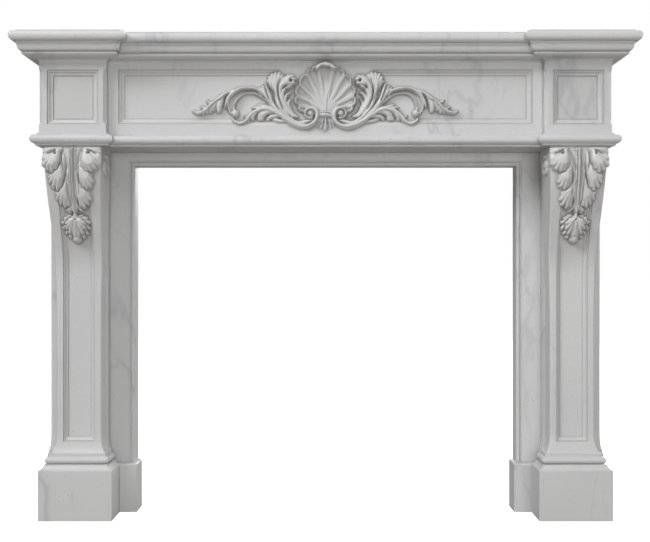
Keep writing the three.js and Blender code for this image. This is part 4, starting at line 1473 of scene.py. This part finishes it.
def makeFrieze():
    look = friezeLook
    bottom, top, end = friezeStone["bottom"], friezeStone["top"], friezeStone["right"]
    tie = bottom + look["tieRise"]
    ground = newGround(look["fineReach"], bottom - tie, look["carvingTop"])
    carveFrieze(ground)
    carved = blurred(np.maximum(ground["heights"], floorLevel), 1)
    tone = toned(ground)

    heads = headProfile()
    headReach = [reach for reach, z in heads]
    headHeight = [z for reach, z in heads]
    low = bottom + look["panelRise"]
    half = look["panelWidth"] / 2
    scale = panelLook["wideScale"]
    fineZ = np.arange(bottom + look["fineRowStep"], top - look["fineHeadroom"], look["fineRowStep"])
    lineZ = np.concatenate([panelLines(low, low + look["panelHeight"], scale), headHeight])
    zs = withFineLines(fineZ, lineZ, look["rowGap"])
    fineX = np.arange(-look["fineReach"], look["fineReach"] + 0.1, look["fineStep"])
    sideX = np.arange(look["fineReach"] + look["sideGap"], end - look["sideEnd"], look["coarseStep"])
    mitre = end - np.array(headReach)
    edgeX = np.concatenate([mitre, -mitre, [end - look["endArris"], look["endArris"] - end]])
    lineX = np.concatenate([panelLines(-half, half, scale), edgeX])
    xs = withFineLines(np.concatenate([fineX, sideX, -sideX]), lineX, look["columnGap"])

    gridX, gridZ = np.meshgrid(xs, zs)
    reach = np.minimum(np.interp(gridZ, headHeight, headReach), end - np.abs(gridX))
    wander = look["handWander"]
    acrossAt = np.abs(gridX + wander * handWander(gridX, gridZ, look["acrossSeed"]))
    upAt = gridZ - tie + wander * handWander(gridX, gridZ, look["upSeed"])
    form = sampled(ground, carved, acrossAt, upAt)
    carvedReach = look["fineReach"] - look["carvedMargin"]
    inside = (np.abs(gridX) < carvedReach) & (gridZ > bottom + look["carvedFoot"])
    floor, shadeAndSoil = friezeFloor(gridX, gridZ)
    height = np.where(inside, np.maximum(form, floor), floor)
    ys = friezeFace - reach - height
    front = np.stack([gridX, ys, gridZ], -1)
    back = friezeStone["back"]
    corner = np.ones((len(zs), 1))
    left = np.stack([-end * corner, back * corner, zs[:, None]], -1)
    right = np.stack([end * corner, back * corner, zs[:, None]], -1)
    rings = np.concatenate([left, front, right], 1)
    # painted shade with some dirt in the hollows and a painted highlight on the crests, kept as the stone's
    # hollow attribute
    formTone = sampled(ground, tone, acrossAt, upAt) * inside
    panelTone = np.clip(shadeAndSoil + np.clip(formTone, 0, 1), 0, 1)
    shade = np.where(form > floor + formClear, formTone, panelTone)
    stone = buildStone("frieze", rings, hubCaps=True, hollow=np.pad(shade, ((0, 0), (1, 1))), softArris=False)
    flatFaces(stone, look["sharpFrom"])


# Legs

legLook = {
    "shaftHalf": 64,
    "shaftReach": 55,  # in front of the jamb
    "headReach": 73,
    "headFlare": 15.5,
    "swell": (0.594, 0.955),  # shares of the height where the head comes forward
    "flare": (0.45, 0.95),
    "flareBend": 1.5,
    "footReach": 27,
    "footEnd": 0.5,  # reach of the foot mouldings below which they are over
    "arris": 3,
    "panelHalf": 45,
    "panelRise": 60,
    "panelHeadroom": 130,
    "carvedDrop": 286,
    "carvedHalf": 96,
    "carvedTop": 2,
    "headFade": (1, -10),  # above and below the top, over which the carving ends
    "fineHalf": 46.5,
    "fineStep": 1.5,
    "bendStep": 9,
    "shaftStep": 40,
    "footGap": 20,
    "topGap": 0.6,
    "rowGap": 0.4,
    "columnGap": 0.25,
    "stileColumns": 21,
    "flankColumns": 30,
    "overhang": 0.24,  # how far a lobe at the arris leans out over the flank
    "overhangReach": 22,
    "overhangPull": 0.75,
    "bendPull": 0.1,
    "sharpFrom": 52,
    "handWander": 0.8,
    "rightSeed": 21,
    "leftSeed": 34,
    "upSeedStep": 5,
}
flankLook = {
    "behindFront": 46,
    "drop": 54,
    "radius": 29,
    "inner": 6,
    "turns": 1.5,
    "laps": 3,
    "band": 4.6,
    "bandAtStart": 1.15,
    "bandLoss": 0.5,
    "height": 8,
    "eyeRadius": 1.25,  # shares of the scroll's inner radius and of its height
    "eyeHeight": 1.2,
    "underLeaf": 0.6,
    "wallFade": 10,
}

# Leg carving: places are across from the leg's middle and up from its top. The inner half is the one beside
# the opening, and the two halves differ.

plate = {
    "spine": [(13, 0), (13, -50), (11, -110), (7, -160)],
    "halfWidths": [20, 20, 15, 8],
    "heights": [4, 5, 5, 4],
}
dropRoot = [(2, -192), (4, -202)]
dropLeaf = {
    "root": dropRoot,
    "tips": [(18, -194), (30, -201), (38, -213), (36, -228), (29, -242), (20, -253), (9, -262)],
    "halfWidths": [3.6, 5, 6.6, 6.8, 5.2],
    "heights": [6, 9, 11, 11, 8],
}
dropRib = {
    "spine": [(0, -190), (0, -226), (0, -264)],
    "halfWidths": [4.4, 5.4, 7, 7.4],
    "heights": [9, 12, 12, 9],
}
dropInner = {
    "root": dropRoot,
    "tips": [(16, -205), (25, -215), (25, -229), (18, -242), (7, -250)],
    "halfWidths": [3, 4.4, 5.8, 5],
    "heights": [10, 15, 18, 16],
}
dropInnerRib = {
    "spine": [(0, -196), (0, -224), (0, -248)],
    "halfWidths": [3.6, 5, 5.6],
    "heights": [12, 19, 16],
}
dropEnd = {"place": (0, -259), "radius": 12, "height": 13}
dropEye = {"place": (0, -203), "radius": 2.8, "depth": 12}
legLobes = [  # from the lowest, each over the one before
    {
        "root": [(5, -136), (8, -164)],
        "outer": [(23, -179), (15, -185)],
        "inner": [(20, -172), (18, -181)],
        "halfWidths": [3, 4.4, 5.4, 4.2],
        "heights": [6, 9, 11, 8],
    },
    {
        "root": [(15, -70), (18, -108)],
        "outer": [(47, -133), (45, -147), (37, -160), (26, -167), (16, -164)],
        "inner": [(42, -133), (46, -149), (40, -162), (29, -170), (19, -166)],
        "halfWidths": [3.6, 5, 7.4, 8.2, 5.4],
        "heights": [9, 13, 17, 19, 14],
    },
    {
        "root": [(24, -22), (27, -54)],
        "outer": [(64, -88), (62, -102), (54, -115), (43, -121), (35, -112), (31, -98)],
        "inner": [(51, -86), (55, -101), (50, -114), (40, -118), (31, -112), (24, -101)],
        "halfWidths": [4, 6, 8.2, 8.4, 5.4],
        "heights": [9, 15, 20, 22, 17],
    },
    {
        "root": [(31, -8), (40, -18)],
        "outer": [(78, -38), (76, -55), (68, -67), (56, -70), (45, -61), (39, -47)],
        "inner": [(72, -36), (71, -52), (64, -64), (53, -69), (43, -66), (35, -57), (30, -45)],
        "halfWidths": [5, 8, 9.6, 8.8, 6.2],
        "heights": [12, 20, 25, 27, 20],
    },
]
capLeaf = {
    "root": [(34, -6), (48, -7)],
    "tips": [(79, -9), (77, -19), (66, -25)],
    "halfWidths": [4, 6, 6.6, 5.4],
    "heights": [10, 16, 17, 12],
}
headBody = {"place": (64, -38), "radius": 21, "height": 16, "squash": 1.35}
capLine = {"spine": [(44, -13), (58, -18), (70, -26)], "halfWidth": 2, "depth": 9}
capEye = {"place": (46, -21), "radius": 3.8, "depth": 26}
innerBeads = {"places": [(12, -12), (9, -24), (8, -36), (7, -48)], "radius": 2.6, "height": 13}
innerLines = [
    {"spine": [(30, -6), (20, -24), (12, -46), (9, -66)], "halfWidth": 3.4, "depth": 22},
    {"spine": [(13, -70), (17, -100), (18, -140)], "halfWidth": 2, "depth": 8},
]
outerBead = {"place": (21, -32), "radius": 4, "height": 13}
outerLines = [
    {"spine": [(29, -20), (28, -46), (22, -74)], "halfWidth": 2.4, "depth": 12},
    {"spine": [(17, -74), (15, -110), (12, -160)], "halfWidth": 2, "depth": 8},
]
sideStems = {
    "lobes": [([(12, -74), (10, -120), (4, -182)], 3.4, 13), ([(6.5, -2), (6, -90), (2, -184)], 2.6, 13)],
    "taper": [1, 1, 0.8],
    "rise": [0, 1, -4],
    "section": rounded,
}
mainStem = {
    "spine": [(0, 0), (0, -90), (0, -150), (0, -192)],
    "halfWidths": [4.2, 3.8, 3.4, 4],
    "heights": [18, 20, 17, 11],
    "section": rounded,
}
stemLine = {"spine": [(3.9, -10), (3.7, -100), (3.4, -170)], "halfWidth": 1.3, "depth": 7}
leafMoat = {"width": 4.5, "depth": 9}


def leaf(ground, root, tips, halfWidths, heights):  # a lobe that stands clear of what lies below it
    moat(ground, root, tips, halfWidths, leafMoat["width"], leafMoat["depth"])
    fan(ground, root, tips, halfWidths, heights, section=broad)


def carveLeg(ground, half):  # in the order of the cuts
    stroke(ground, **plate)
    fan(ground, **dropLeaf)
    stroke(ground, **dropRib)
    leaf(ground, **dropInner)
    stroke(ground, **dropInnerRib)
    knob(ground, **dropEnd)
    drill(ground, **dropEye)
    for lobe in legLobes:
        leaf(ground, lobe["root"], lobe[half], lobe["halfWidths"], lobe["heights"])
    leaf(ground, **capLeaf)
    knob(ground, **headBody)
    groove(ground, **capLine)
    drill(ground, **capEye)
    if half == "inner":
        for line in innerLines:
            groove(ground, **line)
        for place in innerBeads["places"]:
            knob(ground, place, innerBeads["radius"], innerBeads["height"])
    else:
        knob(ground, **outerBead)
        for line in outerLines:
            groove(ground, **line)
    hang(ground, **sideStems)
    stroke(ground, **mainStem)
    groove(ground, **stemLine)


def carvedHalf(half):
    look = legLook
    ground = newGround(look["carvedHalf"], -look["carvedDrop"], look["carvedTop"])
    carveLeg(ground, half)
    ground["carved"] = blurred(np.maximum(ground["heights"], floorLevel), 1)
    ground["tone"] = toned(ground)
    return ground


def ofBothHalves(halves, key, towardsOpening, place, rise):  # carving or tone across a leg
    inner = sampled(halves["inner"], halves["inner"][key], place, rise)
    outer = sampled(halves["outer"], halves["outer"][key], place, rise)
    return np.where(towardsOpening, inner, outer)


def headShare(share):
    return smoothStep(*legLook["swell"], share)


def legHalf(share):
    low, high = legLook["flare"]
    grown = np.clip((share - low) / (high - low), 0, 1) ** legLook["flareBend"]
    return legLook["shaftHalf"] + legLook["headFlare"] * grown


def flankScroll(behind, drop):  # height of the ring scroll on the head's flank
    look = flankLook
    y, z = behind - look["behindFront"], look["drop"] - drop
    reach = np.hypot(y, z)
    turn = (np.arctan2(y, z) / (2 * math.pi)) % 1
    made = np.zeros_like(reach)
    for lap in range(look["laps"]):
        wound = np.clip((turn + lap) / look["turns"], 0, 1)
        line = look["radius"] - (look["radius"] - look["inner"]) * wound
        across = (reach - line) / (look["band"] * (look["bandAtStart"] - look["bandLoss"] * wound))
        ring = look["height"] * rounded(np.clip(across, -1, 1))
        made = np.maximum(made, ring * ((turn + lap) < look["turns"]))
    eyeRadius = look["inner"] * look["eyeRadius"]
    eye = look["height"] * look["eyeHeight"] * rounded(np.clip(reach / eyeRadius, 0, 1))
    return np.maximum(made, eye)


def legRows(foot):  # heights of a leg's rings, close together where it is carved
    look = legLook
    bottom, top = legStone["bottom"], legStone["top"]
    flareFoot = bottom + look["flare"][0] * (top - bottom)
    carvedFoot = top - look["carvedDrop"]
    coarse = [
        np.arange(foot[-1][1] + look["footGap"], flareFoot, look["shaftStep"]),
        np.arange(flareFoot, carvedFoot, look["bendStep"]),
        np.arange(carvedFoot, top - look["topGap"], look["fineStep"]),
    ]
    panel = panelLines(bottom + look["panelRise"], top - look["panelHeadroom"], 1)
    lines = np.concatenate([[z for reach, z in foot], panel, [top]])
    return withFineLines(np.concatenate(coarse), lines, look["rowGap"])


def legColumns():  # places across the leg's front, as far as the panel's moulding goes
    look = legLook
    fine = np.arange(0, look["fineHalf"], look["fineStep"])
    lines = panelLines(-look["panelHalf"], look["panelHalf"], 1)
    columns = withFineLines(np.concatenate([fine, -fine]), lines, look["columnGap"])
    return np.unique(np.concatenate([columns, [-look["fineHalf"], look["fineHalf"]]]))


def legFlank(hand, bulge, front, half, back, drop, aboveFoot):
    # One side of a ring, from the back to the arris
    look = legLook
    arris = front + look["arris"] - look["overhangPull"] * bulge
    y = back + (arris - back) * np.linspace(0, 1, look["flankColumns"])
    nearArris = smoothStep(look["overhangReach"], 0, y - arris)
    out = flankScroll(y - front, drop) * aboveFoot * smoothStep(0, flankLook["wallFade"], back - y)
    out = out * (1 - nearArris * flankLook["underLeaf"])
    return np.stack([hand * (half + out + look["overhang"] * bulge * nearArris), y], -1)


def arrisBend(hand, flank, bulge):  # the middle of the rounded arris
    x, y = flank[-1]
    fromFlank, fromFront = roundMiddle * legLook["arris"], (1 - roundMiddle) * legLook["arris"]
    return [(x - hand * fromFlank, y - fromFront - legLook["bendPull"] * bulge)]


def legRings(halves, centre, side, seed):
    look = legLook
    bottom, top = legStone["bottom"], legStone["top"]
    jambFront = jambStone["front"] + jambLook["footReach"]
    back = jambFront - joint
    foot = footProfile(bottom, look["footReach"])
    footHeight = [z for reach, z in foot]
    footReach = [reach for reach, z in foot]
    panelLow, panelHigh = bottom + look["panelRise"], top - look["panelHeadroom"]
    carvedFoot = top - look["carvedDrop"]
    fadeTop, fadeFoot = top + look["headFade"][0], top + look["headFade"][1]
    panelColumns = legColumns()
    stileShares = np.linspace(0, 1, look["stileColumns"] + 1)[1:]
    flankTone = np.zeros(look["flankColumns"] + 1)
    wander = look["handWander"]

    rings = []
    tones = []
    for z in legRows(foot):
        share = (z - bottom) / (top - bottom)
        reach = np.interp(z, footHeight, footReach)
        half = legHalf(share) + reach
        front = jambFront - look["shaftReach"] - look["headReach"] * headShare(share) - reach
        stile = look["fineHalf"] + (half - look["arris"] - look["fineHalf"]) * stileShares
        s = np.concatenate([-stile[::-1], panelColumns, stile])
        inset = np.minimum(look["panelHalf"] - np.abs(s), min(z - panelLow, panelHigh - z))
        place = np.abs(s + wander * handWander(s, z, seed))
        rise = z - top + wander * handWander(s, z, seed + look["upSeedStep"])
        form = ofBothHalves(halves, "carved", s * side < 0, place, rise)
        tone = ofBothHalves(halves, "tone", s * side < 0, place, rise)
        carved = z > carvedFoot
        depth = -panelDepth(inset)
        lift = np.maximum(depth, form if carved else floorLevel)
        lift = lift * smoothStep(fadeTop, fadeFoot, z) if z > fadeFoot else lift
        leftBulge, rightBulge = np.maximum(0, lift[[0, -1]])
        aboveFoot = reach < look["footEnd"]
        left = legFlank(-1, leftBulge, front, half, back, top - z, aboveFoot)
        right = legFlank(1, rightBulge, front, half, back, top - z, aboveFoot)
        face = np.stack([s, front - lift], -1)
        bends = arrisBend(-1, left, leftBulge), arrisBend(1, right, rightBulge)
        section = np.concatenate([left, bends[0], face, bends[1], right[::-1]])
        rings.append(np.column_stack([section[:, 0] + centre, section[:, 1], np.full(len(section), z)]))
        # painted shade with some dirt in the panel's quirks and the carving's hollows, and a painted highlight
        # on its crests
        shadeAndDirt = panelShadeAndSoil(inset) * (inset > -panelLook["shadeAndSoilReach"]) + np.clip(tone, 0, 1) * carved
        faceTone = np.where((form > depth + formClear) & carved, tone, np.clip(shadeAndDirt, 0, 1))
        tones.append(np.concatenate([flankTone, faceTone, flankTone]))
    return np.array(rings), np.array(tones)


def makeLegs():
    look = legLook
    halves = {"outer": carvedHalf("outer"), "inner": carvedHalf("inner")}
    for name, side, seed in (("right_leg", 1, look["rightSeed"]), ("left_leg", -1, look["leftSeed"])):
        rings, tones = legRings(halves, side * legCentre, side, seed)
        stone = buildStone(name, rings, hubCaps=True, hollow=tones, softArris=False)
        flatFaces(stone, look["sharpFrom"])


makeShelf()
makeFrieze()
makeCornerBlocks()
makeArchitrave()
makeLegs()
makeJambs()
makeSlips()
makePlinths()
